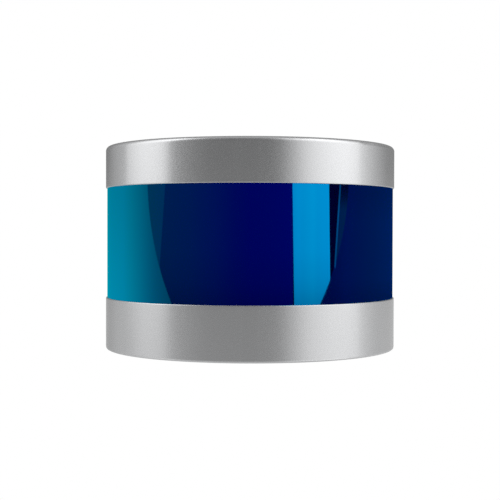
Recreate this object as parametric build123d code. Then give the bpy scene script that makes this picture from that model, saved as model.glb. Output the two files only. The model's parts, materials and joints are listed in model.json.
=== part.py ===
from build123d import *

import os
from math import cos, radians, sqrt

# Spinning lidar scanner in a short round housing, in millimetres, +Z up.
# A cast base and a cast cap hold a clear ring window between them. A fixed hollow shaft stands on the
# base and carries the cap. Between the two castings a head turns about the shaft on two ball bearings:
# it holds two lenses side by side, a fan of laser boards behind one and a fan of detector boards behind
# the other. A flat motor under the head drives it, and a pair of ring coils over it feeds it.
# The origin is the middle of the mounting face, on the spin axis. The socket for the cable faces +Y.

# ---- Housing: overall sizes ----
body_diameter = 103.3
overall_height = 71.7
base_height = 18.3
cap_height = 14.8
foot_round = 0.9
crown_round = 1.6
rim_round = 0.35
casting_wall = 3.0

# ---- Window and its seals ----
window_wall = 2.2
window_step = 0.45
spigot_step = 0.9
spigot_depth = 2.5
window_fit = 0.1
window_seal_height = 1.2
window_seal_play = 0.1

# ---- Base: plate, electronics bay and web ----
plate_thickness = 2.5
foot_width = 5.65
plate_fit = 0.1
plate_edge_break = 0.3
plate_ledge = 7.0
bay_height = 10.5
web_thickness = 3.0
plate_seal_inset = 1.3
plate_seal_width = 1.0
plate_seal_depth = 0.8
plate_screw_inset = 3.4
plate_screw_count = 6
plate_screw_grip = 5.0

# ---- Mounting features in the base plate ----
thread_radius = 2.55
thread_depth = 7.2
thread_boss_radius = 8.0
blind_wall = 1.0
dowel_radius = 2.0
dowel_depth = 5.0
dowel_spacing = 63.5
dowel_boss_radius = 4.5

# ---- Screws: shank radius, head radius, head height ----
m25_shank, m25_head, m25_head_height = 1.25, 2.25, 1.8
m2_shank, m2_head, m2_head_height = 1.0, 1.9, 1.3
m25_sink_height = 1.0
screw_play = 0.05
screw_end_play = 0.5
short_end_play = 0.2
head_edge_break = 0.25
screw_clearance = 0.15
hex_share = 0.55
hex_depth = 1.0

# ---- Interface board in the bay ----
pcb_thickness = 1.6
board_standoff = 2.4
board_screw_grip = 1.6
standoff_radius = 3.0
board_inset = 1.5
board_hole_radius = 10.0
board_flat_inset = 8.5
board_screw_circle = 33.0

# ---- Connector at the back of the base ----
connector_height = 8.3
pad_rise = 2.35
pad_width = 32.0
pad_low, pad_high = 0.7, 15.9
pad_corner = 3.0
flange_width = 29.0
flange_height = 14.6
flange_corner = 4.5
flange_thickness = 2.5
flange_screw_grip = 5.5
flange_screw_spacing = 22.0
nose_radius = 6.0
nose_length = 9.0
nose_edge = 0.4
cup_radius = 4.4
cup_depth = 7.0
insert_radius = 4.7
insert_fit = 0.05
pin_radius = 0.4
pin_circle = 2.75
ring_pins = 7
pin_recess = 1.2
pin_tail = 2.6
pin_fit = 0.02
key_width = 1.2
key_floor_gap = 0.2
key_setback = 0.8
key_root = 0.3
key_height = 0.5
connector_seal_circle = 5.9
connector_seal_radius = 0.55
connector_seal_squeeze = 0.2
lead_radius = 0.5
lead_straight = 1.2
lead_bend = 1.0
header_length = 5.0
header_width = 12.0
header_height = 3.5
header_pitch = 2.8
header_gap = 1.6
header_lead_reach = 0.8
header_row_shares = (0.75, 0.25)

# ---- Fixed shaft ----
shaft_radius = 5.0
shaft_bore_radius = 2.5
spigot_radius = 6.0
flange_radius = 16.0
shaft_flange_thickness = 2.5
stator_seat_radius = 8.0
stator_rest_radius = 9.0
stator_rest_height = 1.5
bearing_shoulder_radius = 6.3
cap_thread_radius = 4.5
cap_thread_length = 4.7
cap_thread_relief = 0.5
shaft_screw_circle = 13.0
shaft_screw_grip = 2.0
turned_fit = 0.02

# ---- Bearings, both alike ----
bearing_section = 4.5
bearing_width = 5.0
race_wall = 1.4
groove_depth = 0.34
ball_count = 11
ball_play = 0.05
cage_wall = 1.0
cage_rim = 0.51
bearing_lip = 0.8
bearing_cover = 1.0
lock_nut_wall = 2.8
lock_nut_height = 2.7
lock_nut_slot_width = 2.0
lock_nut_slot_depth = 1.2
lock_nut_slot_height = 1.5
spring_height = 0.8
spring_wall = 0.3
spring_overhang = 0.6

# ---- Motor ----
stator_tip_radius = 17.5
stator_height = 5.0
stator_back_radius = 11.0
tooth_count = 12
tooth_width = 2.6
tip_wall = 1.5
tip_gap = 1.6
coil_thickness = 1.1
coil_play = 0.1
air_gap = 0.6
magnet_wall = 1.9
magnet_height = 6.0
magnet_count = 14
magnet_gap = 0.6
yoke_wall = 2.0
yoke_height = 8.0
bell_thickness = 2.0
bell_gap = 0.8
bell_screw_grip = 5.0
tooth_root = 1.5
winding_corner_share = 0.8
bell_screw_circle = 15.5
bell_screw_spread = 24.0

# ---- Encoder ----
encoder_rim = 5.0
slot_edge = 0.8
encoder_thickness = 0.6
encoder_lift = 0.6
encoder_slots = 36
slot_length = 2.4
slot_width = 1.4
reader_width = 7.0
reader_reach = 6.0
reader_roof = 0.8
reader_cover = 0.4
reader_turn = 20
reader_gap = 0.4

# ---- Ring coils that feed the head ----
core_radius = 19.0
core_hole_radius = 9.0
core_height = 3.2
core_inner_wall = 3.0
rotor_core_sink = 1.7
core_outer_wall = 2.5
coil_depth = 2.2
coil_fit = 0.2
core_air_gap = 0.8
carrier_thickness = 1.5
feed_lead_radius = 0.45
feed_lead_offset = 1.2
lead_land = 2.0
feed_lead_bend = 1.0
feed_hole_radius = 0.6
feed_lead_drop = 1.3

# ---- Head ----
head_gap = 2.0
head_rest_angle = 90.0
motor_pocket_depth = 7.0
tunnel_stop = 0.5
lens_side_wall = 0.6
stack_side_wall = 2.0
motor_pocket_play = 1.0
bearing_tube_wall = 3.0
cap_ceiling = 3.5
cap_boss_radius = 9.5
cap_rib_count = 8
cap_rib_width = 1.6
cap_rib_height = 2.0
cap_roof = 1.5

# ---- Optics ----
lens_offset = 17.0
lens_front = 35.0
lens_radius = 13.4
lens_land = 1.2
lens_rim = 2.5
lens_curve = 29.0
lens_seat_depth = 5.0
lens_play = 0.05
retainer_lip = 1.0
aperture_lip = 1.6
aperture_depth = 8.0
retainer_slot_width = 1.4
retainer_slot_depth = 0.6
divider_thickness = 1.2
divider_reach = 11.0
divider_lift = 2.0
tunnel_front_half = 8.3
tunnel_rear_half_width = 4.6
tunnel_rear_half_height = 16.0

# ---- Laser and detector boards ----
channel_count = 16
channel_pitch = 2.0
focal_length = 56.0
channel_board_length = 15.7
channel_board_width = 10.0
channel_board_thickness = 0.6
chip_side, chip_height = 1.3, 0.6
chip_inset = 0.8
stack_play = 0.2
backplane_thickness = 1.2
backplane_overlap = 0.8
backplane_reach = 20.0
backplane_screw_reach = 8.0
backplane_screw_inset = 2.2
backplane_screw_shift = 3.6
backplane_screw_grip = 4.0
backplane_tab = 5.0
backplane_web_gap = 1.0

# ---- Head board and balance weight ----
head_board_gap = 1.5
head_board_core_gap = 0.5
head_screw_grip = 5.5
head_screw_front = (27.4, -20.0)
head_screw_rear = (8.0, 30.0)
weight_radius = 4.0
weight_length = 20.0
weight_place = 30.0

# ---- Worked out from the sizes above ----
body_radius = body_diameter / 2
casting_inner = body_radius - casting_wall
window_outer = body_radius - window_step
window_inner = window_outer - window_wall
window_spigot = window_outer - spigot_step
rim_bore = window_spigot + window_fit
window_low = base_height
window_high = overall_height - cap_height
base_seal_low = base_height - spigot_depth - window_seal_height
cap_seal_high = window_high + spigot_depth + window_seal_height
optical_height = (window_low + window_high) / 2
head_radius = window_inner - head_gap
pad_face = body_radius + pad_rise

plate_radius = body_radius - foot_width
bay_radius = plate_radius - plate_ledge
plate_seal_radius = bay_radius + plate_seal_inset
plate_screw_circle = plate_radius - plate_screw_inset
board_radius = bay_radius - board_inset
board_flat = bay_radius - board_flat_inset
web_low = plate_thickness + bay_height
web_high = web_low + web_thickness
board_high = web_low - board_standoff
board_low = board_high - pcb_thickness

stator_low = web_high + shaft_flange_thickness + stator_rest_height
stator_high = stator_low + stator_height
magnet_outer = stator_tip_radius + air_gap + magnet_wall
yoke_outer = magnet_outer + yoke_wall
bell_low = stator_high + coil_play + coil_thickness + bell_gap
bell_high = bell_low + bell_thickness
yoke_low = bell_low - yoke_height
lower_bearing_low = bell_high + bearing_cover
lower_bearing_high = lower_bearing_low + bearing_width
chassis_low = bell_high - motor_pocket_depth
encoder_radius = yoke_outer + encoder_rim
encoder_low = yoke_low + encoder_lift
encoder_high = encoder_low + encoder_thickness
coil_inner_radius = core_hole_radius + core_inner_wall
coil_outer_radius = core_radius - core_outer_wall

ceiling_height = overall_height - cap_ceiling
cap_boss_low = overall_height - cap_roof - cap_thread_length - cap_thread_relief
carrier_low = cap_boss_low - carrier_thickness
fixed_core_low = carrier_low - core_height
rotor_core_high = fixed_core_low - core_air_gap
rotor_core_low = rotor_core_high - core_height
chassis_high = rotor_core_low + rotor_core_sink
upper_bearing_high = rotor_core_low - spring_height
upper_bearing_low = upper_bearing_high - bearing_width
lock_nut_low = upper_bearing_high + spring_height
shaft_top = cap_boss_low + cap_thread_length
feed_lead_height = fixed_core_low + coil_depth - feed_lead_radius - coil_fit

lens_dome_radius = lens_radius - lens_land
retainer_hole_radius = lens_radius - retainer_lip
aperture_radius = lens_radius - aperture_lip
lens_plane = -(lens_front - lens_seat_depth + lens_rim / 2)
stack_rear = lens_plane + focal_length + channel_board_length
stack_half_width = channel_board_width / 2
backplane_half_width = stack_half_width + backplane_overlap
front_half_width = lens_offset + lens_radius + lens_side_wall
rear_half_width = lens_offset + stack_half_width + stack_play + stack_side_wall
head_board_high = chassis_high + pcb_thickness
bearing_outer_radius = shaft_radius + bearing_section
ball_circle = (shaft_radius + bearing_outer_radius) / 2
ball_radius = bearing_section / 2 - race_wall + groove_depth
cage_height = 2 * (ball_radius + cage_rim)
bearing_lip_radius = bearing_outer_radius - bearing_lip
race_edge = shaft_radius + race_wall
spring_radius = race_edge + spring_overhang
lock_nut_radius = shaft_radius + lock_nut_wall

UP = (Align.CENTER, Align.CENTER, Align.MIN)
OVER = 1.0  # how far a cutting tool runs past the face that it cuts
HAIR = 0.001  # overlap of a cutting tool with a face that it would otherwise share


def disc(radius, low, high):
    """Round disc on the spin axis between two heights."""
    return Pos(0, 0, low) * Cylinder(radius, high - low, align=UP)


def ring(outer, inner, low, high):
    """Disc with a round hole, on the spin axis."""
    return disc(outer, low, high) - disc(inner, low - OVER, high + OVER)


def turned(*outline):
    """Solid turned about the spin axis from (radius, height) corners."""
    corners = [(radius, 0, height) for radius, height in outline]
    return revolve(make_face(Polyline(*corners, close=True)), Axis.Z)


def along_y(radius, start, end, x=0.0, z=0.0):
    """Round bar along Y between two distances from the spin axis."""
    return Pos(x, start, z) * Rot(-90, 0, 0) * Cylinder(radius, end - start, align=UP)


def block(x_low, x_high, y_low, y_high, z_low, z_high):
    """Box given by its limits."""
    middle = ((x_low + x_high) / 2, (y_low + y_high) / 2, (z_low + z_high) / 2)
    return Pos(*middle) * Box(x_high - x_low, y_high - y_low, z_high - z_low)


def group(pieces):
    """Several separate solids as one node."""
    return Compound([solid for piece in pieces for solid in piece.solids()])


def polar(radius, count, start=0.0):
    """Places spaced evenly round the spin axis."""
    return [Rot(0, 0, start + 360 * i / count) * Pos(radius, 0, 0) for i in range(count)]


def hex_socket(head_radius, top):
    """Tool for the hexagon recess in a screw head whose top is at this height."""
    hexagon = RegularPolygon(head_radius * hex_share, 6)
    return Pos(0, 0, top - hex_depth) * extrude(hexagon, hex_depth + OVER)


def cap_screw(shank, head, head_height, length):
    """Socket screw: the head stands on height 0 and the shank hangs below it."""
    body = disc(head, 0, head_height) + disc(shank, -length, 0)
    body = chamfer(body.edges().group_by(Axis.Z)[-1], head_edge_break)
    return body - hex_socket(head, head_height)


def sunk_screw(shank, head, head_height, length):
    """Countersunk screw: its flat top is at height 0 and it points down."""
    body = turned((0, 0), (head, 0), (shank, -head_height), (shank, -length), (0, -length))
    return body - hex_socket(head, 0)


def sink_tool(shank, head, head_height, length):
    """Hole for a countersunk screw, its mouth at height 0."""
    play = screw_play
    cone = turned((0, 0), (head + play, 0), (shank + play, -head_height), (0, -head_height))
    return cone + disc(shank + play, -length - play, 0) + disc(head + play, 0, OVER)


# ---- Housing ----


def plate_screw_places():
    return [place * Rot(180, 0, 0) for place in polar(plate_screw_circle, plate_screw_count)]


def shaft_screw_places():
    return [Pos(0, 0, web_low) * p * Rot(180, 0, 0) for p in polar(shaft_screw_circle, 4, 45)]


def board_screw_places():
    return [Pos(0, 0, board_low) * p * Rot(180, 0, 0) for p in polar(board_screw_circle, 4, 45)]


def flange_screw_places():
    face = pad_face + flange_thickness
    spots = (-flange_screw_spacing / 2, flange_screw_spacing / 2)
    return [Pos(x, face, connector_height) * Rot(-90, 0, 0) for x in spots]


def connector_pad():
    """Flat pad that the connector's flange is screwed to, at the back of the base."""
    pad = block(-pad_width / 2, pad_width / 2, body_radius - 9, pad_face, pad_low, pad_high)
    corners = pad.edges().filter_by(Axis.Y)
    return fillet(corners, pad_corner)


def base_housing():
    """Cast base: foot ring, electronics bay, web under the head and rim for the window."""
    body = disc(body_radius, 0, base_height)
    body = fillet(body.edges().group_by(Axis.Z)[0], foot_round)
    body = fillet(body.edges().group_by(Axis.Z)[-1], rim_round)
    body += connector_pad()
    body -= disc(plate_radius + plate_fit, -OVER, plate_thickness)
    body -= disc(bay_radius, plate_thickness - OVER, web_low)
    body -= disc(casting_inner, web_high, base_height + OVER)
    body -= ring(rim_bore, casting_inner - HAIR, base_seal_low, base_height + OVER)
    standoffs = [
        Pos(0, 0, board_high) * p * Cylinder(standoff_radius, board_standoff, align=UP)
        for p in polar(board_screw_circle, 4, 45)
    ]
    for standoff in standoffs:
        body += standoff
    body -= disc(spigot_radius + turned_fit, web_low - OVER, web_high + OVER)
    tapped = m25_shank + screw_play
    for place in plate_screw_places():
        body -= place * disc(tapped, -plate_thickness - plate_screw_grip - screw_end_play,
                             -plate_thickness + OVER)
    for place in shaft_screw_places():
        body -= place * disc(m25_shank + screw_clearance, -web_thickness - OVER, OVER)
    for place in board_screw_places():
        body -= place * disc(tapped, -pcb_thickness - board_standoff - board_screw_grip
                             - short_end_play, 0)
    for place in flange_screw_places():
        body -= place * disc(tapped, -flange_thickness - flange_screw_grip - screw_end_play, 0)
    body -= along_y(insert_radius + insert_fit, bay_radius - 2 * OVER, pad_face + OVER,
                    z=connector_height)
    return body


def base_plate():
    """Round plate that closes the bay: it carries the mounting thread and two dowel holes."""
    body = disc(plate_radius, 0, plate_thickness)
    body = chamfer(body.edges().group_by(Axis.Z)[0], plate_edge_break)
    body += disc(thread_boss_radius, plate_thickness, thread_depth + blind_wall)
    dowels = [Pos(x, 0, 0) for x in (-dowel_spacing / 2, dowel_spacing / 2)]
    for place in dowels:
        body += place * disc(dowel_boss_radius, plate_thickness, dowel_depth + blind_wall)
        body -= place * disc(dowel_radius, -OVER, dowel_depth)
    body -= disc(thread_radius, -OVER, thread_depth)
    seal_outer = plate_seal_radius + plate_seal_width / 2
    seal_inner = plate_seal_radius - plate_seal_width / 2
    body -= ring(seal_outer, seal_inner, plate_thickness - plate_seal_depth, plate_thickness + OVER)
    for place in plate_screw_places():
        body -= place * sink_tool(m25_shank, m25_head, m25_sink_height, plate_thickness)
    return body


def base_plate_seal():
    half = plate_seal_width / 2 - turned_fit
    low = plate_thickness - plate_seal_depth
    return ring(plate_seal_radius + half, plate_seal_radius - half, low, plate_thickness)


def base_plate_screws():
    screw = sunk_screw(m25_shank, m25_head, m25_sink_height, plate_thickness + plate_screw_grip)
    return group(place * screw for place in plate_screw_places())


def window_seal(low):
    """Square rubber ring between the end of the window and the ledge in a casting."""
    play = window_seal_play
    return ring(rim_bore - play, casting_inner + play, low, low + window_seal_height)


def window_ring():
    """Ring window with a stepped spigot at each end."""
    low, high = window_low - spigot_depth, window_high + spigot_depth
    return turned(
        (window_inner, low), (window_spigot, low), (window_spigot, window_low),
        (window_outer, window_low), (window_outer, window_high), (window_spigot, window_high),
        (window_spigot, high), (window_inner, high),
    )


def top_cap():
    """Cast cap: it screws on to the top of the shaft and holds the window down."""
    body = disc(body_radius, window_high, overall_height)
    body = fillet(body.edges().group_by(Axis.Z)[-1], crown_round)
    body = fillet(body.edges().group_by(Axis.Z)[0], rim_round)
    body -= disc(casting_inner, window_high - OVER, ceiling_height)
    body -= ring(rim_bore, casting_inner - HAIR, window_high - OVER, cap_seal_high)
    body += disc(cap_boss_radius, cap_boss_low, ceiling_height)
    reach = casting_inner + casting_wall / 2
    rib = block(cap_boss_radius - OVER, reach, -cap_rib_width / 2, cap_rib_width / 2,
                ceiling_height - cap_rib_height, ceiling_height)
    for i in range(cap_rib_count):
        body += Rot(0, 0, 360 * i / cap_rib_count) * rib
    body -= disc(cap_thread_radius + turned_fit, cap_boss_low - OVER, overall_height - cap_roof)
    return body


# ---- Shaft, bearings and feed coils ----


def center_shaft():
    """Fixed hollow shaft: a flange on the web, a seat for the stator and a thread for the cap."""
    flange_high = web_high + shaft_flange_thickness
    body = turned(
        (shaft_bore_radius, web_low), (spigot_radius, web_low), (spigot_radius, web_high),
        (flange_radius, web_high), (flange_radius, flange_high),
        (stator_rest_radius, flange_high), (stator_rest_radius, stator_low),
        (stator_seat_radius, stator_low), (stator_seat_radius, stator_high),
        (bearing_shoulder_radius, stator_high), (bearing_shoulder_radius, lower_bearing_low),
        (shaft_radius, lower_bearing_low), (shaft_radius, carrier_low),
        (cap_thread_radius, carrier_low), (cap_thread_radius, shaft_top),
        (shaft_bore_radius, shaft_top),
    )
    for place in shaft_screw_places():
        body -= place * disc(m25_shank + screw_play, -web_thickness - shaft_screw_grip - short_end_play,
                             -web_thickness + OVER)
    cross = Pos(0, 0, feed_lead_height) * Rot(0, 90, 0) * Cylinder(feed_hole_radius, 3 * shaft_radius)
    return body - cross


def shaft_screws():
    screw = cap_screw(m25_shank, m25_head, m25_head_height, web_thickness + shaft_screw_grip)
    return group(place * screw for place in shaft_screw_places())


def ball_groove(middle):
    return Pos(0, 0, middle) * Torus(ball_circle, ball_radius + ball_play)


def inner_race(low):
    race = ring(race_edge, shaft_radius + turned_fit, low, low + bearing_width)
    return race - ball_groove(low + bearing_width / 2)


def outer_race(low):
    outer = bearing_outer_radius
    race = ring(outer, outer - race_wall, low, low + bearing_width)
    return race - ball_groove(low + bearing_width / 2)


def ball_places(low):
    middle = low + bearing_width / 2
    return [Pos(0, 0, middle) * place for place in polar(ball_circle, ball_count, 180 / ball_count)]


def bearing_balls(low):
    return group(place * Sphere(ball_radius) for place in ball_places(low))


def bearing_cage(low):
    """Ring that keeps the balls apart, with a round pocket for each."""
    middle = low + bearing_width / 2
    half_wall, half_height = cage_wall / 2, cage_height / 2
    body = ring(ball_circle + half_wall, ball_circle - half_wall,
                middle - half_height, middle + half_height)
    for place in ball_places(low):
        body -= place * Rot(0, 90, 0) * Cylinder(ball_radius + ball_play, 3 * cage_wall)
    return body


def preload_spring():
    """Coned washer that presses the upper inner race down."""
    low, high = upper_bearing_high, upper_bearing_high + spring_height
    inner, outer = shaft_radius + turned_fit, spring_radius
    edge = race_edge - spring_wall / 3
    return turned((inner, low), (edge, low), (outer, high - spring_wall), (outer, high),
                  (edge, high), (inner, low + spring_wall))


def bearing_lock_nut():
    """Round slotted nut on the shaft over the upper bearing."""
    body = ring(lock_nut_radius, shaft_radius + turned_fit, lock_nut_low,
                lock_nut_low + lock_nut_height)
    for place in polar(lock_nut_radius, 4):
        body -= Pos(0, 0, lock_nut_low + lock_nut_height) * place * Box(
            2 * lock_nut_slot_depth, lock_nut_slot_width, 2 * lock_nut_slot_height)
    return body


def coil_carrier():
    """Disc clamped between the shaft's shoulder and the cap's boss; it holds the fixed core."""
    return ring(core_radius, cap_thread_radius + turned_fit, carrier_low, cap_boss_low)


def ring_core(low, opening_up):
    """Ferrite ring with a groove for its coil, open upwards or downwards."""
    high = low + core_height
    body = ring(core_radius, core_hole_radius, low, high)
    if opening_up:
        return body - ring(coil_outer_radius, coil_inner_radius, high - coil_depth, high + OVER)
    return body - ring(coil_outer_radius, coil_inner_radius, low - OVER, low + coil_depth)


def ring_coil(low):
    """Copper winding that lies in a core's groove."""
    high = low + coil_depth - coil_fit
    return ring(coil_outer_radius - coil_fit, coil_inner_radius + coil_fit, low, high)


def fixed_core():
    """Fixed core, with a hole on each side for the lead to its coil."""
    tool = Pos(0, 0, feed_lead_height) * Rot(0, 90, 0)
    return ring_core(fixed_core_low, False) - tool * Cylinder(feed_hole_radius, 2 * coil_inner_radius + 1)


def coil_leads():
    """Two leads from the interface board up the shaft's bore and out to the fixed coil."""
    land = board_hole_radius + lead_land
    turn_low = board_high + feed_lead_drop
    coil_edge = coil_inner_radius + coil_fit
    leads = []
    for side in (-1, 1):
        near = side * feed_lead_offset
        path = FilletPolyline(
            (side * land, 0, board_high), (side * land, 0, turn_low), (near, 0, turn_low),
            (near, 0, feed_lead_height), (side * coil_edge, 0, feed_lead_height),
            radius=[feed_lead_bend / 2, feed_lead_bend / 2, feed_lead_bend],
        )
        section = Pos(side * land, 0, board_high) * Circle(feed_lead_radius)
        leads.append(sweep(section, path))
    return group(leads)


# ---- Motor and encoder ----


def stator_core():
    """Stack of laminations with twelve teeth."""
    outline = Circle(stator_back_radius) - Circle(stator_seat_radius + turned_fit)
    tips = Circle(stator_tip_radius) - Circle(stator_tip_radius - tip_wall)
    root = stator_seat_radius + tooth_root
    length = stator_tip_radius - tip_wall / 2 - root
    middle = root + length / 2
    for i in range(tooth_count):
        turn = 360 * i / tooth_count
        outline += Rot(0, 0, turn) * Pos(middle, 0) * Rectangle(length, tooth_width)
        tips -= Rot(0, 0, turn + 180 / tooth_count) * Pos(stator_tip_radius, 0) * Rectangle(
            2 * (tip_wall + OVER), tip_gap)
    return Pos(0, 0, stator_low) * extrude(outline + tips, stator_height)


def stator_windings():
    """One copper winding round each tooth."""
    inner = stator_back_radius + coil_play
    outer = stator_tip_radius - tip_wall - coil_play
    half = tooth_width / 2 + coil_play
    tooth = block(inner - OVER, outer + OVER, -half, half,
                  stator_low - coil_play, stator_high + coil_play)
    wound = block(inner, outer, -half - coil_thickness, half + coil_thickness,
                  stator_low - coil_play - coil_thickness, stator_high + coil_play + coil_thickness)
    wound = fillet(wound.edges().filter_by(Axis.X), coil_thickness * winding_corner_share)
    winding = (wound - tooth) & disc(outer, stator_low - stator_height, stator_high + stator_height)
    return group(Rot(0, 0, 360 * i / tooth_count) * winding for i in range(tooth_count))


def motor_yoke():
    return ring(yoke_outer, magnet_outer + turned_fit, yoke_low, bell_low)


def motor_magnets():
    """Ring of magnets inside the yoke, with a gap between neighbours."""
    low = stator_low + stator_height / 2 - magnet_height / 2
    body = ring(magnet_outer, magnet_outer - magnet_wall, low, low + magnet_height)
    for place in polar(magnet_outer, magnet_count):
        body -= Pos(0, 0, low) * place * Box(3 * magnet_wall, magnet_gap, 3 * magnet_height)
    return group([body])


def bell_screw_places():
    """Two screws each side of the lenses' middle plane, where the chassis is solid."""
    turns = [quarter + side * bell_screw_spread for quarter in (90, 270) for side in (-1, 1)]
    return [Rot(0, 0, turn) * Pos(bell_screw_circle, 0, bell_low) * Rot(180, 0, 0) for turn in turns]


def motor_bell():
    """Disc between the yoke and the chassis; its collar holds the lower outer race in."""
    body = ring(yoke_outer, bearing_lip_radius, bell_low, bell_high)
    body += ring(bearing_outer_radius - turned_fit, bearing_lip_radius, bell_low, lower_bearing_low)
    for place in bell_screw_places():
        body -= place * sink_tool(m25_shank, m25_head, m25_sink_height, bell_thickness)
    return body


def bell_screws():
    screw = sunk_screw(m25_shank, m25_head, m25_sink_height, bell_thickness + bell_screw_grip)
    return group(place * screw for place in bell_screw_places())


def encoder_disc():
    """Thin ring on the yoke with a row of radial slots near its edge."""
    outline = Circle(encoder_radius) - Circle(yoke_outer + turned_fit)
    middle = encoder_radius - slot_edge - slot_length / 2
    for i in range(encoder_slots):
        slot = Pos(middle, 0) * Rectangle(slot_length, slot_width)
        outline -= Rot(0, 0, 360 * i / encoder_slots) * slot
    return Pos(0, 0, encoder_low) * extrude(outline, encoder_thickness)


def encoder_reader():
    """Forked light gate that the encoder's edge runs through."""
    start = encoder_radius - slot_length - reader_cover
    half = reader_width / 2
    gate_high = encoder_high + reader_gap
    body = block(start, start + reader_reach, -half, half, web_high, gate_high + reader_roof)
    gate = block(start - OVER, encoder_radius + reader_gap, -half - OVER, half + OVER,
                 encoder_low - reader_gap, gate_high)
    return Rot(0, 0, reader_turn) * (body - gate)


# ---- Electronics in the bay, and the connector ----


def interface_board():
    """Ring-shaped board with a flat side towards the connector."""
    body = ring(board_radius, board_hole_radius, board_low, board_high)
    body -= block(-board_radius, board_radius, board_flat, board_radius + OVER,
                  board_low - OVER, board_high + OVER)
    for place in board_screw_places():
        body -= place * disc(m25_shank + screw_clearance, -pcb_thickness - OVER, OVER)
    return body


def interface_board_chips():
    """Chips, transformer, chokes and capacitors under the board: (x, y, length, width, height)."""
    layout = (
        (-17, 14, 14, 14, 1.6), (17, 13, 12, 9, 2.0), (0, -20, 16, 12, 2.0),
        (-22, -8, 7, 7, 2.4), (22, -6, 7, 7, 2.4), (-14, -24, 5, 4, 1.4), (15, -25, 5, 4, 1.4),
        (-30, 6, 5, 3, 1.4), (30, 7, 5, 3, 1.4), (-14, 25, 6, 5, 1.4), (14, 24, 6, 5, 1.4),
    )
    return group(
        Pos(x, y, board_low - height / 2) * Box(length, width, height)
        for x, y, length, width, height in layout
    )


def interface_board_screws():
    screw = cap_screw(m25_shank, m25_head, m25_head_height,
                      pcb_thickness + board_standoff + board_screw_grip)
    return group(place * screw for place in board_screw_places())


def pin_places():
    """(x, z) of each contact, from the middle of the connector."""
    step = 360 / ring_pins
    places = [(0.0, 0.0)]
    for i in range(ring_pins):
        spot = Vector(pin_circle, 0, 0).rotate(Axis.Z, 90 + step * (i + 0.5))
        places.append((spot.X, spot.Y))
    return places


def header_low():
    return board_low - header_height


def lead_header():
    """Plug-in block under the board that takes the eight leads in two rows."""
    rear = board_flat - header_gap
    return block(-header_width / 2, header_width / 2, rear - header_length, rear,
                 header_low(), board_low)


def connector_leads():
    """Eight short leads from the contacts' tails to the header."""
    order = sorted(pin_places(), key=lambda place: -place[1])
    rows = (sorted(order[:4]), sorted(order[4:]))
    start = bay_radius - pin_tail
    face = board_flat - header_gap
    leads = []
    for row, places in enumerate(rows):
        height = header_low() + header_height * header_row_shares[row]
        for column, (x, z) in enumerate(places):
            target = header_pitch * (column - 1.5)
            begin = (x, start, connector_height + z)
            path = FilletPolyline(
                begin, (x, start - lead_straight, connector_height + z),
                (target, face + header_lead_reach + lead_bend, height), (target, face, height),
                radius=[lead_bend, lead_bend],
            )
            section = Plane(origin=begin, z_dir=(0, -1, 0)) * Circle(lead_radius)
            leads.append(sweep(section, path))
    return group(leads)


def connector_shell():
    """Metal receptacle: an oval flange and a round nose for the plug's coupling ring."""
    face = pad_face + flange_thickness
    outline = RectangleRounded(flange_width, flange_height, flange_corner)
    flange = Pos(0, face, connector_height) * Rot(90, 0, 0) * extrude(outline, flange_thickness)
    nose = along_y(nose_radius, face - OVER, face + nose_length, z=connector_height)
    nose = chamfer(nose.edges().group_by(Axis.Y)[-1], nose_edge)
    body = flange + nose
    mouth = face + nose_length
    body -= along_y(insert_radius + insert_fit, pad_face - OVER, mouth - cup_depth, z=connector_height)
    body -= along_y(cup_radius, mouth - cup_depth - OVER, mouth + OVER, z=connector_height)
    body += block(-key_width / 2, key_width / 2, mouth - cup_depth + key_floor_gap, mouth - key_setback,
                  connector_height + cup_radius - key_height, connector_height + cup_radius + key_root)
    groove = ring(connector_seal_circle + connector_seal_radius,
                  connector_seal_circle - connector_seal_radius,
                  0, 2 * connector_seal_radius - connector_seal_squeeze)
    body -= Pos(0, pad_face, connector_height) * Rot(-90, 0, 0) * groove
    for place in flange_screw_places():
        body -= place * disc(m25_shank + screw_clearance, -flange_thickness - OVER, OVER)
    return body


def connector_insert():
    """Insulator that holds the contacts, in the shell and the bore through the base."""
    front = pad_face + flange_thickness + nose_length - cup_depth
    body = along_y(insert_radius, bay_radius, front, z=connector_height)
    for x, z in pin_places():
        body -= along_y(pin_radius + pin_fit, bay_radius - OVER, front + OVER, x, connector_height + z)
    return body


def connector_pins():
    tip = pad_face + flange_thickness + nose_length - pin_recess
    start = bay_radius - pin_tail
    pins = []
    for x, z in pin_places():
        pin = along_y(pin_radius, start, tip, x, connector_height + z)
        pins.append(chamfer(pin.edges().group_by(Axis.Y)[-1], pin_radius / 2))
    return group(pins)


def connector_seal():
    """Rubber ring in the flange's groove, against the pad."""
    half = connector_seal_radius - turned_fit
    body = ring(connector_seal_circle + half, connector_seal_circle - half,
                0, 2 * connector_seal_radius - connector_seal_squeeze)
    return Pos(0, pad_face, connector_height) * Rot(-90, 0, 0) * body


def connector_screws():
    screw = cap_screw(m25_shank, m25_head, m25_head_height, flange_thickness + flange_screw_grip)
    return group(place * screw for place in flange_screw_places())


# ---- Head: modelled with its lenses towards -Y, then turned to its rest angle ----


def stack_side_places():
    """Middle of the transmit side and of the receive side, in X."""
    return (-lens_offset, lens_offset)


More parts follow.
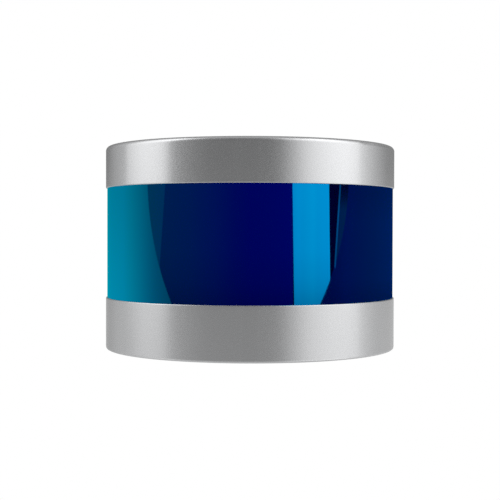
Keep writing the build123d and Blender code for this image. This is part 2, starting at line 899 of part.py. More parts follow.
def light_tunnel(x):
    """Space for the light behind one lens: round behind the glass, then a slot at the boards."""
    seat = lens_seat_depth
    body = along_y(lens_radius + lens_play, -lens_front - OVER, -lens_front + seat,
                   x, optical_height)
    body += along_y(aperture_radius, -lens_front + seat - OVER, -lens_front + seat + aperture_depth,
                    x, optical_height)
    start = -lens_front + seat + aperture_depth - OVER
    end = lens_plane + focal_length - tunnel_stop
    near = Plane((x, start, optical_height), x_dir=(1, 0, 0), z_dir=(0, 1, 0))
    far = Plane((x, end, optical_height), x_dir=(1, 0, 0), z_dir=(0, 1, 0))
    sections = [
        near * Rectangle(2 * tunnel_front_half, 2 * tunnel_front_half),
        far * Rectangle(2 * tunnel_rear_half_width, 2 * tunnel_rear_half_height),
    ]
    return body + loft(sections, ruled=True)


def head_screw_places():
    spots = [(side * x, y) for x, y in (head_screw_front, head_screw_rear) for side in (-1, 1)]
    return [Pos(x, y, head_board_high) for x, y in spots]


def backplane_screw_places(x):
    """Two screws into the chassis beside each backplane, towards the middle of the head."""
    middle = abs(x) - backplane_half_width + backplane_screw_inset - backplane_screw_shift
    spot = middle if x > 0 else -middle
    rear = stack_rear + backplane_thickness
    heights = (optical_height - backplane_screw_reach, optical_height + backplane_screw_reach)
    return [Pos(spot, rear, z) * Rot(-90, 0, 0) for z in heights]


def optics_chassis():
    """Machined block that holds the lenses, the boards and both outer races."""
    front, rear = -lens_front, stack_rear
    waist = lens_plane + focal_length
    slot_start = lens_plane + focal_length * cos(radians(channel_angles()[-1])) - 2 * stack_play
    outline = make_face(Polyline(
        (-front_half_width, front), (front_half_width, front), (rear_half_width, waist),
        (rear_half_width, rear), (-rear_half_width, rear), (-rear_half_width, waist), close=True,
    ))
    body = Pos(0, 0, chassis_low) * extrude(outline, chassis_high - chassis_low)
    body = body & disc(head_radius, chassis_low, chassis_high)
    for x in stack_side_places():
        body -= light_tunnel(x)
        half = stack_half_width + stack_play
        body -= block(x - half, x + half, slot_start, rear + OVER,
                      chassis_low - OVER, chassis_high + OVER)
    body += disc(bearing_outer_radius + bearing_tube_wall, bell_high, chassis_high)
    body -= disc(yoke_outer + motor_pocket_play, chassis_low - OVER, bell_high)
    seat = bearing_outer_radius + turned_fit
    body -= disc(bearing_lip_radius, bell_high - OVER, chassis_high + OVER)
    body -= disc(seat, bell_high - OVER, lower_bearing_high)
    body -= disc(seat, upper_bearing_low, chassis_high + OVER)
    body -= disc(core_radius + turned_fit, rotor_core_low, chassis_high + OVER)
    body -= Pos(0, weight_place, 0) * disc(weight_radius + turned_fit, chassis_high - weight_length,
                                           chassis_high + OVER)
    tapped = m25_shank + screw_play
    for place in bell_screw_places():
        body -= place * disc(tapped, -bell_thickness - bell_screw_grip - screw_end_play, 0)
    for place in head_screw_places():
        body -= place * disc(m2_shank + screw_play, -pcb_thickness - head_screw_grip - screw_end_play, 0)
    for x in stack_side_places():
        for place in backplane_screw_places(x):
            body -= place * disc(m2_shank + screw_play,
                                 -backplane_thickness - backplane_screw_grip - screw_end_play, 0)
    return body


def lens(x):
    """Glass with a flat back, a straight edge and a domed front."""
    sag = lens_curve - sqrt(lens_curve**2 - lens_dome_radius**2)
    flat = -lens_front + lens_seat_depth
    rim_face = flat - lens_rim
    blank = along_y(lens_radius, rim_face, flat, x, optical_height)
    ball = Pos(x, rim_face - sag + lens_curve, optical_height) * Sphere(lens_curve)
    front = along_y(lens_dome_radius, rim_face - sag - OVER, rim_face + OVER, x, optical_height)
    return blank + (front & ball)


def lens_retainers():
    """Threaded ring in front of each lens."""
    rings = []
    for x in stack_side_places():
        start, end = -lens_front, -lens_front + lens_seat_depth - lens_rim
        body = along_y(lens_radius, start, end, x, optical_height)
        body -= along_y(retainer_hole_radius, start - OVER, end + OVER, x, optical_height)
        notch = Pos(x, start, optical_height) * Box(
            2 * (lens_radius + OVER), 2 * retainer_slot_depth, retainer_slot_width)
        rings.append(body - notch)
    return group(rings)


def stray_light_divider():
    """Black plate between the lenses, out to just short of the window."""
    half = divider_thickness / 2
    return block(-half, half, -lens_front - divider_reach, -lens_front,
                 chassis_low + divider_lift, optical_height + lens_radius)


def channel_angles():
    return [channel_pitch * (i - (channel_count - 1) / 2) for i in range(channel_count)]


def channel_boards(x):
    """Thin boards in a fan, each edge-on to the middle of its lens."""
    boards = []
    for angle in channel_angles():
        far = (stack_rear - lens_plane) / cos(radians(angle)) + OVER
        board = Pos(0, (focal_length + far) / 2, 0) * Box(
            channel_board_width, far - focal_length, channel_board_thickness)
        board = Pos(x, lens_plane, optical_height) * Rot(angle, 0, 0) * board
        board -= block(x - channel_board_width, x + channel_board_width,
                       stack_rear, stack_rear + channel_board_length, 0, overall_height)
        boards.append(board)
    return group(boards)


def channel_chips(x):
    """One laser or photodiode at the inner edge of each board."""
    chip = Pos(0, focal_length + chip_inset, (channel_board_thickness + chip_height) / 2) * Box(
        chip_side, chip_side, chip_height)
    return group(
        Pos(x, lens_plane, optical_height) * Rot(angle, 0, 0) * chip for angle in channel_angles()
    )


def backplane(x):
    """Upright board across the back of one fan, with a tab to the middle for its screws."""
    x_low, x_high = x - backplane_half_width, x + backplane_half_width
    if x > 0:
        x_low -= backplane_tab
    else:
        x_high += backplane_tab
    low = max(optical_height - backplane_reach, web_high + backplane_web_gap)
    body = block(x_low, x_high, stack_rear, stack_rear + backplane_thickness,
                 low, optical_height + backplane_reach)
    for place in backplane_screw_places(x):
        body -= place * disc(m2_shank + screw_clearance, -backplane_thickness - OVER, OVER)
    return body


def backplane_screws():
    screw = cap_screw(m2_shank, m2_head, m2_head_height, backplane_thickness + backplane_screw_grip)
    places = [place for x in stack_side_places() for place in backplane_screw_places(x)]
    return group(place * screw for place in places)


def head_board():
    """Ring board on top of the chassis."""
    body = ring(head_radius - head_board_gap, core_radius + head_board_core_gap,
                chassis_high, head_board_high)
    for place in head_screw_places():
        body -= place * disc(m2_shank + screw_clearance, -pcb_thickness - OVER, OVER)
    return body


def head_board_chips():
    """Chips on top of the head board: (x, y, length, width, height)."""
    layout = (
        (0, -32, 15, 15, 1.6), (-34, -6, 9, 9, 1.4), (34, -6, 9, 9, 1.4), (-30, 18, 8, 6, 1.2),
        (30, 18, 8, 6, 1.2), (-16, 36, 6, 5, 1.2), (16, 36, 6, 5, 1.2), (-16, -34, 5, 5, 1.2),
        (16, -34, 5, 5, 1.2), (0, 25, 7, 5, 1.2),
    )
    return group(
        Pos(x, y, head_board_high + height / 2) * Box(length, width, height)
        for x, y, length, width, height in layout
    )


def head_board_screws():
    screw = cap_screw(m2_shank, m2_head, m2_head_height, pcb_thickness + head_screw_grip)
    return group(place * screw for place in head_screw_places())


def balance_weight():
    return Pos(0, weight_place, 0) * disc(weight_radius, chassis_high - weight_length, chassis_high)


def fixed_parts():
    """Every piece that stands still."""
    return {
        "base_housing": base_housing(),
        "base_plate": base_plate(),
        "base_plate_seal": base_plate_seal(),
        "base_plate_screws": base_plate_screws(),
        "lower_window_seal": window_seal(base_seal_low),
        "window_ring": window_ring(),
        "upper_window_seal": window_seal(cap_seal_high - window_seal_height),
        "top_cap": top_cap(),
        "center_shaft": center_shaft(),
        "shaft_screws": shaft_screws(),
        "lower_bearing_inner_race": inner_race(lower_bearing_low),
        "upper_bearing_inner_race": inner_race(upper_bearing_low),
        "preload_spring": preload_spring(),
        "bearing_lock_nut": bearing_lock_nut(),
        "coil_carrier": coil_carrier(),
        "fixed_core": fixed_core(),
        "fixed_coil": ring_coil(fixed_core_low + coil_fit),
        "coil_leads": coil_leads(),
        "stator_core": stator_core(),
        "stator_windings": stator_windings(),
        "encoder_reader": encoder_reader(),
        "interface_board": interface_board(),
        "interface_board_chips": interface_board_chips(),
        "interface_board_screws": interface_board_screws(),
        "lead_header": lead_header(),
        "connector_leads": connector_leads(),
        "connector_shell": connector_shell(),
        "connector_insert": connector_insert(),
        "connector_pins": connector_pins(),
        "connector_seal": connector_seal(),
        "connector_screws": connector_screws(),
    }


def head_parts():
    """Every piece that turns with the head."""
    transmit, receive = stack_side_places()
    return {
        "optics_chassis": optics_chassis(),
        "transmit_lens": lens(transmit),
        "receive_lens": lens(receive),
        "lens_retainers": lens_retainers(),
        "stray_light_divider": stray_light_divider(),
        "emitter_boards": channel_boards(transmit),
        "laser_diodes": channel_chips(transmit),
        "detector_boards": channel_boards(receive),
        "photodiodes": channel_chips(receive),
        "emitter_backplane": backplane(transmit),
        "detector_backplane": backplane(receive),
        "backplane_screws": backplane_screws(),
        "head_board": head_board(),
        "head_board_chips": head_board_chips(),
        "head_board_screws": head_board_screws(),
        "balance_weight": balance_weight(),
        "rotating_core": ring_core(rotor_core_low, True),
        "rotating_coil": ring_coil(rotor_core_high - coil_depth),
        "motor_bell": motor_bell(),
        "bell_screws": bell_screws(),
        "motor_yoke": motor_yoke(),
        "motor_magnets": motor_magnets(),
        "encoder_disc": encoder_disc(),
        "lower_bearing_outer_race": outer_race(lower_bearing_low),
        "upper_bearing_outer_race": outer_race(upper_bearing_low),
    }


def cage_parts():
    """Balls and cages, which go round at a share of the head's speed."""
    return {
        "lower_bearing_balls": bearing_balls(lower_bearing_low),
        "lower_bearing_cage": bearing_cage(lower_bearing_low),
        "upper_bearing_balls": bearing_balls(upper_bearing_low),
        "upper_bearing_cage": bearing_cage(upper_bearing_low),
    }


def main():
    os.makedirs("parts", exist_ok=True)
    parts = fixed_parts()
    parts.update(cage_parts())
    turn = Rot(0, 0, head_rest_angle)
    parts.update({name: turn * shape for name, shape in head_parts().items()})
    for name, shape in parts.items():
        export_step(shape, f"parts/{name}.step")


main()
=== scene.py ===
import json
import logging
import math
from dataclasses import dataclass
from enum import Enum
from typing import Iterable, Sequence

import bpy
import numpy as np
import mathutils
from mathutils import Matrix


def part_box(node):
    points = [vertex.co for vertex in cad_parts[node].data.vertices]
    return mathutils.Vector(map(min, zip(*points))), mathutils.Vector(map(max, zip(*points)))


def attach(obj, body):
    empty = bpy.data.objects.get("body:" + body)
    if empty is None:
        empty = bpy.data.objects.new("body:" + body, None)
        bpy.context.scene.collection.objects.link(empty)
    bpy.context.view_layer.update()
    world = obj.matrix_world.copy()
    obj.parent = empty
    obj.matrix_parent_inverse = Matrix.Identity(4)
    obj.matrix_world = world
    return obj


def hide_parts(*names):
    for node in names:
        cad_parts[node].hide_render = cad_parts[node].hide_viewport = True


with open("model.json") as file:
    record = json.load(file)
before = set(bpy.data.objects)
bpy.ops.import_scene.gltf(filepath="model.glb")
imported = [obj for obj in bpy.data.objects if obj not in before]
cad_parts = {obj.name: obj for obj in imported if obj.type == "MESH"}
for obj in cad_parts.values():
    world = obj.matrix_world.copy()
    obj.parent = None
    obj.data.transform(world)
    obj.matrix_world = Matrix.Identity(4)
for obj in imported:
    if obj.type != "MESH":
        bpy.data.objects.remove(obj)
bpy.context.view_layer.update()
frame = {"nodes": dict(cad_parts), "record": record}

LOG = logging.getLogger("scanner")
MILLIMETRE = 0.001
FULL_TURN = 2 * math.pi
TINY = 1e-9

Colour = tuple[float, float, float]
Array = np.ndarray


# ---- Shader tools ----


class Wire:
    """A value in a node tree. Python's operators on it add one Math node each."""

    def __init__(self, graph: "Graph", socket: bpy.types.NodeSocket) -> None:
        """Keeps the tree and the output socket that carries the value."""
        self.graph = graph
        self.socket = socket

    def _maths(self, operation: str, *values: "Wire | float") -> "Wire":
        """Adds a Math node.

        Args:
            operation: the node's operation.
            values: what its inputs take, in order.

        Returns:
            The node's result.
        """
        node = self.graph.node("ShaderNodeMath", {"operation": operation}, dict(enumerate(values)))
        return Wire(self.graph, node.outputs[0])

    def __add__(self, other: "Wire | float") -> "Wire":
        """Sum."""
        return self._maths("ADD", self, other)

    __radd__ = __add__

    def __sub__(self, other: "Wire | float") -> "Wire":
        """Difference."""
        return self._maths("SUBTRACT", self, other)

    def __rsub__(self, other: float) -> "Wire":
        """Difference from a plain number."""
        return self._maths("SUBTRACT", other, self)

    def __mul__(self, other: "Wire | float") -> "Wire":
        """Product."""
        return self._maths("MULTIPLY", self, other)

    __rmul__ = __mul__

    def __pow__(self, other: float) -> "Wire":
        """Power."""
        return self._maths("POWER", self, other)

    def __gt__(self, other: "Wire | float") -> "Wire":
        """1 where this value is the larger, else 0."""
        return self._maths("GREATER_THAN", self, other)

    def sine(self) -> "Wire":
        """Sine of the value in radians."""
        return self._maths("SINE", self)

    def held(self, low: float = 0.0, high: float = 1.0) -> "Wire":
        """The value, kept between two limits."""
        return self._maths("MINIMUM", self._maths("MAXIMUM", self, low), high)


class Graph:
    """The node tree of one material, from nothing."""

    def __init__(self, name: str) -> None:
        """Makes the material and empties its tree.

        Args:
            name: the material's name.
        """
        self.material = bpy.data.materials.new(name)
        self.material.use_nodes = True
        self.tree = self.material.node_tree
        self.tree.nodes.clear()

    def node(self, kind: str, settings: dict | None = None, inputs: dict | None = None) -> bpy.types.Node:
        """Adds one node.

        Args:
            kind: the node's type.
            settings: its own properties, by name.
            inputs: what each input takes, by name or number: a Wire, a socket or a plain value.

        Returns:
            The node.
        """
        node = self.tree.nodes.new(kind)
        for name, value in (settings or {}).items():
            setattr(node, name, value)
        for name, value in (inputs or {}).items():
            source = value.socket if isinstance(value, Wire) else value
            if isinstance(source, bpy.types.NodeSocket):
                self.tree.links.new(source, node.inputs[name])
            else:
                node.inputs[name].default_value = source
        return node

    def place(self) -> bpy.types.NodeSocket:
        """Object coordinates, in metres."""
        return self.node("ShaderNodeTexCoord").outputs["Object"]

    def axes(self) -> tuple[Wire, Wire, Wire]:
        """The three object coordinates as separate values."""
        split = self.node("ShaderNodeSeparateXYZ", inputs={0: self.place()})
        return tuple(Wire(self, out) for out in split.outputs)

    def noise(self, size: float, detail: float = 3.0, rough: float = 0.5) -> Wire:
        """Cloudy noise from 0 to 1.

        Args:
            size: width of its blotches in metres.
            detail: how many finer layers it has.
            rough: how strong the finer layers are.

        Returns:
            The noise.
        """
        inputs = {"Vector": self.place(), "Scale": 1 / size, "Detail": detail, "Roughness": rough}
        return Wire(self, self.node("ShaderNodeTexNoise", {}, inputs).outputs["Fac"])

    def cells(self, size: float) -> Wire:
        """A random grey for each grain.

        Args:
            size: width of a grain in metres.

        Returns:
            The grey, from 0 to 1.
        """
        inputs = {"Vector": self.place(), "Scale": 1 / size}
        colour = self.node("ShaderNodeTexVoronoi", {}, inputs).outputs["Color"]
        split = self.node("ShaderNodeSeparateColor", inputs={0: colour})
        return Wire(self, split.outputs[0])

    def radius(self) -> Wire:
        """Distance from the spin axis, in metres."""
        x, y, _ = self.axes()
        return (x * x + y * y) ** 0.5

    def blend(self, share: Wire, first: Colour, second: Colour) -> bpy.types.NodeSocket:
        """A mix of two colours by a share from 0 to 1."""
        inputs = {0: share, 6: (*first, 1.0), 7: (*second, 1.0)}
        return self.node("ShaderNodeMix", {"data_type": "RGBA"}, inputs).outputs[2]

    def relief(self, height: Wire, depth: float) -> bpy.types.NodeSocket:
        """A normal for a height map whose full range is this deep, in metres."""
        inputs = {"Height": height, "Distance": depth, "Strength": 1.0}
        return self.node("ShaderNodeBump", {}, inputs).outputs["Normal"]

    def surface(self, **inputs: object) -> bpy.types.Node:
        """A Principled shader. Underscores in the names of its inputs stand for spaces."""
        named = {name.replace("_", " "): value for name, value in inputs.items()}
        return self.node("ShaderNodeBsdfPrincipled", {}, named)

    def done(self, shader: bpy.types.Node) -> bpy.types.Material:
        """Puts a shader on the output.

        Args:
            shader: the node whose first output is the surface.

        Returns:
            The finished material.
        """
        self.node("ShaderNodeOutputMaterial", {}, {"Surface": shader.outputs[0]})
        return self.material


def shade(colour: Colour, factor: float) -> Colour:
    """The colour, lighter or darker by a factor."""
    return tuple(min(1.0, part * factor) for part in colour)


# ---- Finishes ----


class Texture(Enum):
    """How a plain surface was made, which sets its fine relief."""

    CAST = "cast"
    TURNED = "turned"
    BRUSHED = "brushed"
    MOULDED = "moulded"
    WOUND = "wound"
    STACKED = "stacked"


@dataclass(frozen=True)
class PlainFinish:
    """A finish of one colour that drifts a little, with fine relief by how it was made."""

    name: str
    colour: Colour
    metallic: float
    roughness: float
    texture: Texture
    pitch: float = 0.4 * MILLIMETRE
    depth: float = 0.01 * MILLIMETRE
    drift: float = 0.12

    def height(self, graph: Graph) -> Wire:
        """Relief from 0 to 1 for this texture.

        Turned is a sine of the distance from the spin axis over the pitch, wound and stacked are a
        sine of the height over the pitch, brushed is noise drawn out along X, and cast and moulded
        are cloudy noise.

        Args:
            graph: the material's tree.

        Returns:
            The relief.
        """
        grain = graph.noise(self.pitch, 4.0, 0.6)
        if self.texture is Texture.TURNED:
            return (graph.radius() * (FULL_TURN / self.pitch)).sine() * 0.35 + grain * 0.65
        if self.texture in (Texture.WOUND, Texture.STACKED):
            _, _, z = graph.axes()
            return (z * (FULL_TURN / self.pitch)).sine() * 0.4 + grain * 0.2
        if self.texture is Texture.BRUSHED:
            mapping = graph.node("ShaderNodeMapping", {}, {"Vector": graph.place(), "Scale": (0.05, 1, 1)})
            inputs = {"Vector": mapping.outputs[0], "Scale": 1 / self.pitch, "Detail": 4.0}
            return Wire(graph, graph.node("ShaderNodeTexNoise", {}, inputs).outputs["Fac"])
        return grain

    def make(self) -> bpy.types.Material:
        """Drifting colour, uneven gloss and fine relief.

        Returns:
            The material.
        """
        graph = Graph(self.name)
        cloud = graph.noise(12 * self.pitch, 3.0)
        height = self.height(graph)
        colour = graph.blend(cloud, shade(self.colour, 1 - self.drift), shade(self.colour, 1 + self.drift))
        gloss = (self.roughness * 0.8 + cloud * (self.roughness * 0.3) + height * 0.05).held(0.02, 1.0)
        shader = graph.surface(
            Base_Color=colour, Metallic=self.metallic, Roughness=gloss,
            Normal=graph.relief(height, self.depth),
        )
        return graph.done(shader)


@dataclass(frozen=True)
class FlakePaint:
    """Silver paint: bright flakes in a clear binder over a slightly pebbled casting."""

    name: str = "silver_flake_paint"
    colour: Colour = (0.60, 0.605, 0.615)
    flake: float = 0.28 * MILLIMETRE
    speck: float = 0.5 * MILLIMETRE
    pebble: float = 1.0 * MILLIMETRE
    facet: float = 0.10 * MILLIMETRE
    facet_share: float = 0.3

    def make(self) -> bpy.types.Material:
        """Each flake has its own grey and gloss, and wider clouds drift over them.

        Returns:
            The material.
        """
        graph = Graph(self.name)
        fleck = graph.cells(self.flake)
        facet = graph.cells(self.facet) > 1 - self.facet_share
        speck = graph.noise(self.speck, 2.0, 0.6)
        cloud = graph.noise(9 * MILLIMETRE, 4.0)
        pebble = graph.noise(self.pebble, 3.0, 0.6)
        tone = (fleck * 0.30 + speck * 0.10 + pebble * 0.25 + cloud * 0.35).held()
        colour = graph.blend(tone, shade(self.colour, 0.93), shade(self.colour, 1.07))
        gloss = (0.23 + fleck * 0.04 + cloud * 0.04 - facet * 0.08).held()
        shader = graph.surface(
            Base_Color=colour, Metallic=0.86, Roughness=gloss, Coat_Weight=0.70, Coat_Roughness=0.08,
            Normal=graph.relief(pebble * 0.5 + speck * 0.5, 0.018 * MILLIMETRE),
        )
        return graph.done(shader)


@dataclass(frozen=True)
class MirrorWindow:
    """Blue-coated clear ring: a deep blue body under a mirror that turns from azure to teal."""

    name: str = "blue_mirror_window"
    body: Colour = (0.0, 0.0006, 0.035)
    head_on: Colour = (0.0, 0.40, 1.0)
    aslant: Colour = (0.0, 0.66, 1.0)
    mirror_head_on: float = 0.25
    mirror_aslant: float = 0.95

    def make(self) -> bpy.types.Material:
        """Body and mirror, shared out by how squarely the surface faces the eye.

        Returns:
            The material.
        """
        graph = Graph(self.name)
        facing = Wire(graph, graph.node("ShaderNodeLayerWeight", inputs={"Blend": 0.5}).outputs["Facing"])
        share = self.mirror_head_on + (self.mirror_aslant - self.mirror_head_on) * (facing ** 0.8)
        tint = graph.blend((facing * 2.2).held(), self.head_on, self.aslant)
        ripple = graph.noise(22 * MILLIMETRE, 2.0)
        haze = graph.noise(0.5 * MILLIMETRE, 2.0)
        normal = graph.relief(ripple + haze * 0.004, 0.012 * MILLIMETRE)
        body = graph.surface(
            Base_Color=graph.blend(ripple, shade(self.body, 0.94), shade(self.body, 1.06)),
            Roughness=0.3, Specular_IOR_Level=0.0, Normal=normal,
        )
        mirror = graph.surface(
            Base_Color=tint, Metallic=1.0, Roughness=(0.02 + haze * 0.015).held(), Normal=normal,
            Specular_Tint=(*self.aslant, 1.0),
        )
        mix = graph.node("ShaderNodeMixShader", {}, {0: share, 1: body.outputs[0], 2: mirror.outputs[0]})
        return graph.done(mix)


@dataclass(frozen=True)
class CoatedGlass:
    """Lens glass with a faint coloured coating."""

    name: str = "coated_lens_glass"

    def make(self) -> bpy.types.Material:
        """Clear glass with slight streaks in its gloss.

        Returns:
            The material.
        """
        graph = Graph(self.name)
        streak = graph.noise(3 * MILLIMETRE, 2.0)
        shader = graph.surface(
            Base_Color=graph.blend(streak, (0.80, 0.90, 0.98), (0.90, 0.95, 0.86)),
            Roughness=(0.02 + streak * 0.03).held(), Transmission_Weight=1.0, IOR=1.52,
        )
        return graph.done(shader)


@dataclass(frozen=True)
class CircuitBoard:
    """Solder-masked laminate with copper tracks under the mask and bare gold lands."""

    name: str = "masked_circuit_board"
    mask: Colour = (0.012, 0.12, 0.055)
    track: Colour = (0.03, 0.22, 0.10)
    land: Colour = (0.78, 0.58, 0.24)

    def make(self) -> bpy.types.Material:
        """Tracks where a sine of two coordinates is high, lands where cells are bright.

        Returns:
            The material.
        """
        graph = Graph(self.name)
        x, y, z = graph.axes()
        lane = (x * 2600.0).sine() * (y * 1900.0 + (z * 900.0)).sine()
        track = lane > 0.35
        land = graph.cells(1.3 * MILLIMETRE) > 0.93
        under = graph.node("ShaderNodeMix", {"data_type": "RGBA"}, {
            0: land, 6: graph.blend(track, self.mask, self.track), 7: (*self.land, 1.0)}).outputs[2]
        weave = graph.noise(0.3 * MILLIMETRE, 2.0)
        shader = graph.surface(
            Base_Color=under, Metallic=land, Roughness=(0.28 + weave * 0.12).held(),
            Normal=graph.relief(track * 0.6 + weave * 0.2, 0.03 * MILLIMETRE),
        )
        return graph.done(shader)


def plain(
    name: str, colour: Colour, metallic: float, roughness: float, texture: Texture,
    pitch: float, depth: float = 0.01, drift: float = 0.12,
) -> PlainFinish:
    """A plain finish whose relief is given in millimetres.

    Args:
        name: the material's name.
        colour: its middle colour.
        metallic: 1 for bare metal, 0 for plastic, paint and rubber.
        roughness: its roughness.
        texture: how it was made.
        pitch: width of its texture, in millimetres.
        depth: depth of its texture, in millimetres.
        drift: how far its colour drifts either way, as a share.

    Returns:
        The finish.
    """
    pitch, depth = pitch * MILLIMETRE, depth * MILLIMETRE
    return PlainFinish(name, colour, metallic, roughness, texture, pitch, depth, drift)


class Finishes:
    """Every finish of the scanner, one for each slot of the record."""

    def __init__(self) -> None:
        """Lists the finish of each slot."""
        self.by_slot = {
            "housing_paint": FlakePaint(),
            "window_plastic": MirrorWindow(),
            "lens_glass": CoatedGlass(),
            "board_green": CircuitBoard(),
            **self.steels(),
            **self.other_metals(),
            **self.dark_and_insulating(),
        }
        self.made: dict[str, bpy.types.Material] = {}

    @staticmethod
    def steels() -> dict[str, PlainFinish]:
        """Screws, shaft, bearings, motor iron and ferrite.

        Returns:
            The finish of each slot.
        """
        steel, varnish, ferrite = (0.56, 0.57, 0.58), (0.13, 0.12, 0.12), (0.035, 0.035, 0.038)
        etched = (0.5, 0.5, 0.51)
        cast, turned, stacked = Texture.CAST, Texture.TURNED, Texture.STACKED
        return {
            "screw_steel": plain("screw_steel", steel, 1.0, 0.28, cast, 0.15, 0.004),
            "turned_steel": plain("turned_steel", steel, 1.0, 0.24, turned, 0.3),
            "race_steel": plain("ground_race_steel", (0.66, 0.66, 0.68), 1.0, 0.12, turned, 0.12, 0.002),
            "lamination_steel": plain("varnished_laminations", varnish, 0.7, 0.4, stacked, 0.35, 0.05),
            "yoke_steel": plain("plated_yoke", (0.42, 0.42, 0.44), 1.0, 0.33, turned, 0.4),
            "magnet_nickel": plain("nickel_magnet", (0.6, 0.59, 0.56), 1.0, 0.2, cast, 0.5, 0.006),
            "ferrite": plain("sintered_ferrite", ferrite, 0.1, 0.55, cast, 0.25, 0.02),
            "encoder_metal": plain("etched_encoder_sheet", etched, 1.0, 0.25, Texture.BRUSHED, 0.2, 0.004),
        }

    @staticmethod
    def other_metals() -> dict[str, PlainFinish]:
        """Aluminium, brass, copper, nickel and gold.

        Returns:
            The finish of each slot.
        """
        cast, turned = Texture.CAST, Texture.TURNED
        enamel = (0.62, 0.24, 0.09)
        return {
            "plate_metal": plain("machined_plate", (0.60, 0.61, 0.63), 1.0, 0.32, turned, 0.45, 0.02),
            "carrier_metal": plain("turned_aluminium", (0.62, 0.63, 0.64), 1.0, 0.3, turned, 0.35),
            "cage_brass": plain("cage_brass", (0.66, 0.46, 0.17), 1.0, 0.3, turned, 0.25),
            "weight_brass": plain("weight_brass", (0.66, 0.47, 0.18), 1.0, 0.26, turned, 0.3),
            "winding_copper": plain("enamelled_winding", enamel, 0.9, 0.3, Texture.WOUND, 0.35, 0.12),
            "connector_nickel": plain("matt_nickel", (0.60, 0.59, 0.57), 1.0, 0.26, cast, 0.2, 0.006, 0.06),
            "diode_metal": plain("gold_package", (0.8, 0.6, 0.25), 1.0, 0.22, cast, 0.2, 0.004),
            "pin_gold": plain("contact_gold", (0.92, 0.67, 0.27), 1.0, 0.18, cast, 0.2, 0.003, 0.05),
        }

    @staticmethod
    def dark_and_insulating() -> dict[str, PlainFinish]:
        """Rubber, moulded plastics, anodised metal and matt black.

        Returns:
            The finish of each slot.
        """
        rubber, anodised, matt = (0.016, 0.016, 0.017), (0.022, 0.022, 0.024), (0.012, 0.012, 0.012)
        package, insulator, red = (0.02, 0.02, 0.021), (0.018, 0.018, 0.02), (0.42, 0.03, 0.025)
        moulded, cast = Texture.MOULDED, Texture.CAST
        return {
            "seal_rubber": plain("seal_rubber", rubber, 0.0, 0.7, moulded, 0.3),
            "chassis_black": plain("black_anodised_chassis", anodised, 0.4, 0.48, cast, 0.22, 0.015),
            "divider_black": plain("matt_black_divider", matt, 0.0, 0.85, moulded, 0.3, 0.02),
            "chip_black": plain("moulded_package", package, 0.0, 0.6, moulded, 0.18, 0.012),
            "insert_black": plain("insulator_black", insulator, 0.0, 0.5, moulded, 0.3),
            "lead_insulation": plain("lead_insulation", red, 0.0, 0.42, moulded, 0.4),
        }

    def material(self, slot: str) -> bpy.types.Material:
        """Makes a slot's material the first time that it is asked for.

        Args:
            slot: the slot's name in the record.

        Returns:
            The material.
        """
        if slot not in self.made:
            self.made[slot] = self.by_slot[slot].make()
        return self.made[slot]

    def dress(self, obj: bpy.types.Object, slot: str) -> None:
        """Gives an object one slot's material and nothing else."""
        obj.data.materials.clear()
        obj.data.materials.append(self.material(slot))


# ---- Mesh tools ----


@dataclass
class Shell:
    """One closed surface as points and faces."""

    points: Array
    faces: list[tuple[int, ...]]


def closed_shell(rows: Array, poles: bool = False) -> Shell:
    """Joins rings of points into one closed surface.

    The rows are rings of points, one row for each step along the profile, and each ring closes on
    itself. The last row joins the first again, unless poles is true: then each end row is one point
    and a fan of triangles closes the surface there.

    Args:
        rows: array of rows x columns x 3.
        poles: True if the first and last rows each shrink to a point.

    Returns:
        The surface.
    """
    count, across = rows.shape[:2]
    if not poles:
        index = np.arange(count * across).reshape(count, across)
        index = np.vstack([index, index[:1]])
        return Shell(rows.reshape(-1, 3), _quads(index))
    points = np.vstack([rows[0, :1], rows[1:-1].reshape(-1, 3), rows[-1, :1]])
    index = np.arange(1, 1 + (count - 2) * across).reshape(count - 2, across)
    turned = np.roll(index, -1, axis=1)
    last = len(points) - 1
    start = [(0, int(b), int(a)) for a, b in zip(index[0], turned[0])]
    end = [(last, int(a), int(b)) for a, b in zip(index[-1], turned[-1])]
    return Shell(points, _quads(index) + start + end)


def _quads(index: Array) -> list[tuple[int, ...]]:
    """Four-sided faces between neighbouring rows, each of which closes on itself.

    Args:
        index: the number of each point, row by row.

    Returns:
        The four corners of each face.
    """
    turned = np.roll(index, -1, axis=1)
    faces = np.stack([index[:-1], turned[:-1], turned[1:], index[1:]], axis=-1)
    return [tuple(face) for face in faces.reshape(-1, 4).tolist()]


def new_piece(name: str, shells: Iterable[Shell], sharp: float = 32.0) -> bpy.types.Object:
    """Makes one object from closed surfaces, with its place in its mesh.

    Args:
        name: the piece's name.
        shells: its closed surfaces.
        sharp: edges that turn by more than this many degrees stay crisp.

    Returns:
        The object.
    """
    points, faces, start = [], [], 0
    for shell in shells:
        points.append(shell.points)
        faces += [tuple(i + start for i in face) for face in shell.faces]
        start += len(shell.points)
    mesh = bpy.data.meshes.new(name)
    mesh.from_pydata(np.vstack(points).tolist(), [], faces)
    mesh.update()
    if signed_volume(mesh) < 0:
        mesh.flip_normals()
    mesh.shade_smooth()
    mesh.set_sharp_from_angle(angle=math.radians(sharp))
    piece = bpy.data.objects.new(name, mesh)
    bpy.context.scene.collection.objects.link(piece)
    return piece


def signed_volume(mesh: bpy.types.Mesh) -> float:
    """Volume inside a closed mesh: a sixth of the sum of each triangle's triple product.

    Args:
        mesh: the mesh.

    Returns:
        The volume, below zero where the faces point inwards.
    """
    mesh.calc_loop_triangles()
    corners = np.zeros(len(mesh.vertices) * 3)
    mesh.vertices.foreach_get("co", corners)
    triangles = np.zeros(len(mesh.loop_triangles) * 3, dtype=np.int32)
    mesh.loop_triangles.foreach_get("vertices", triangles)
    a, b, c = (corners.reshape(-1, 3)[triangles.reshape(-1, 3)[:, i]] for i in range(3))
    return float(np.einsum("ij,ij->i", a, np.cross(b, c)).sum() / 6)


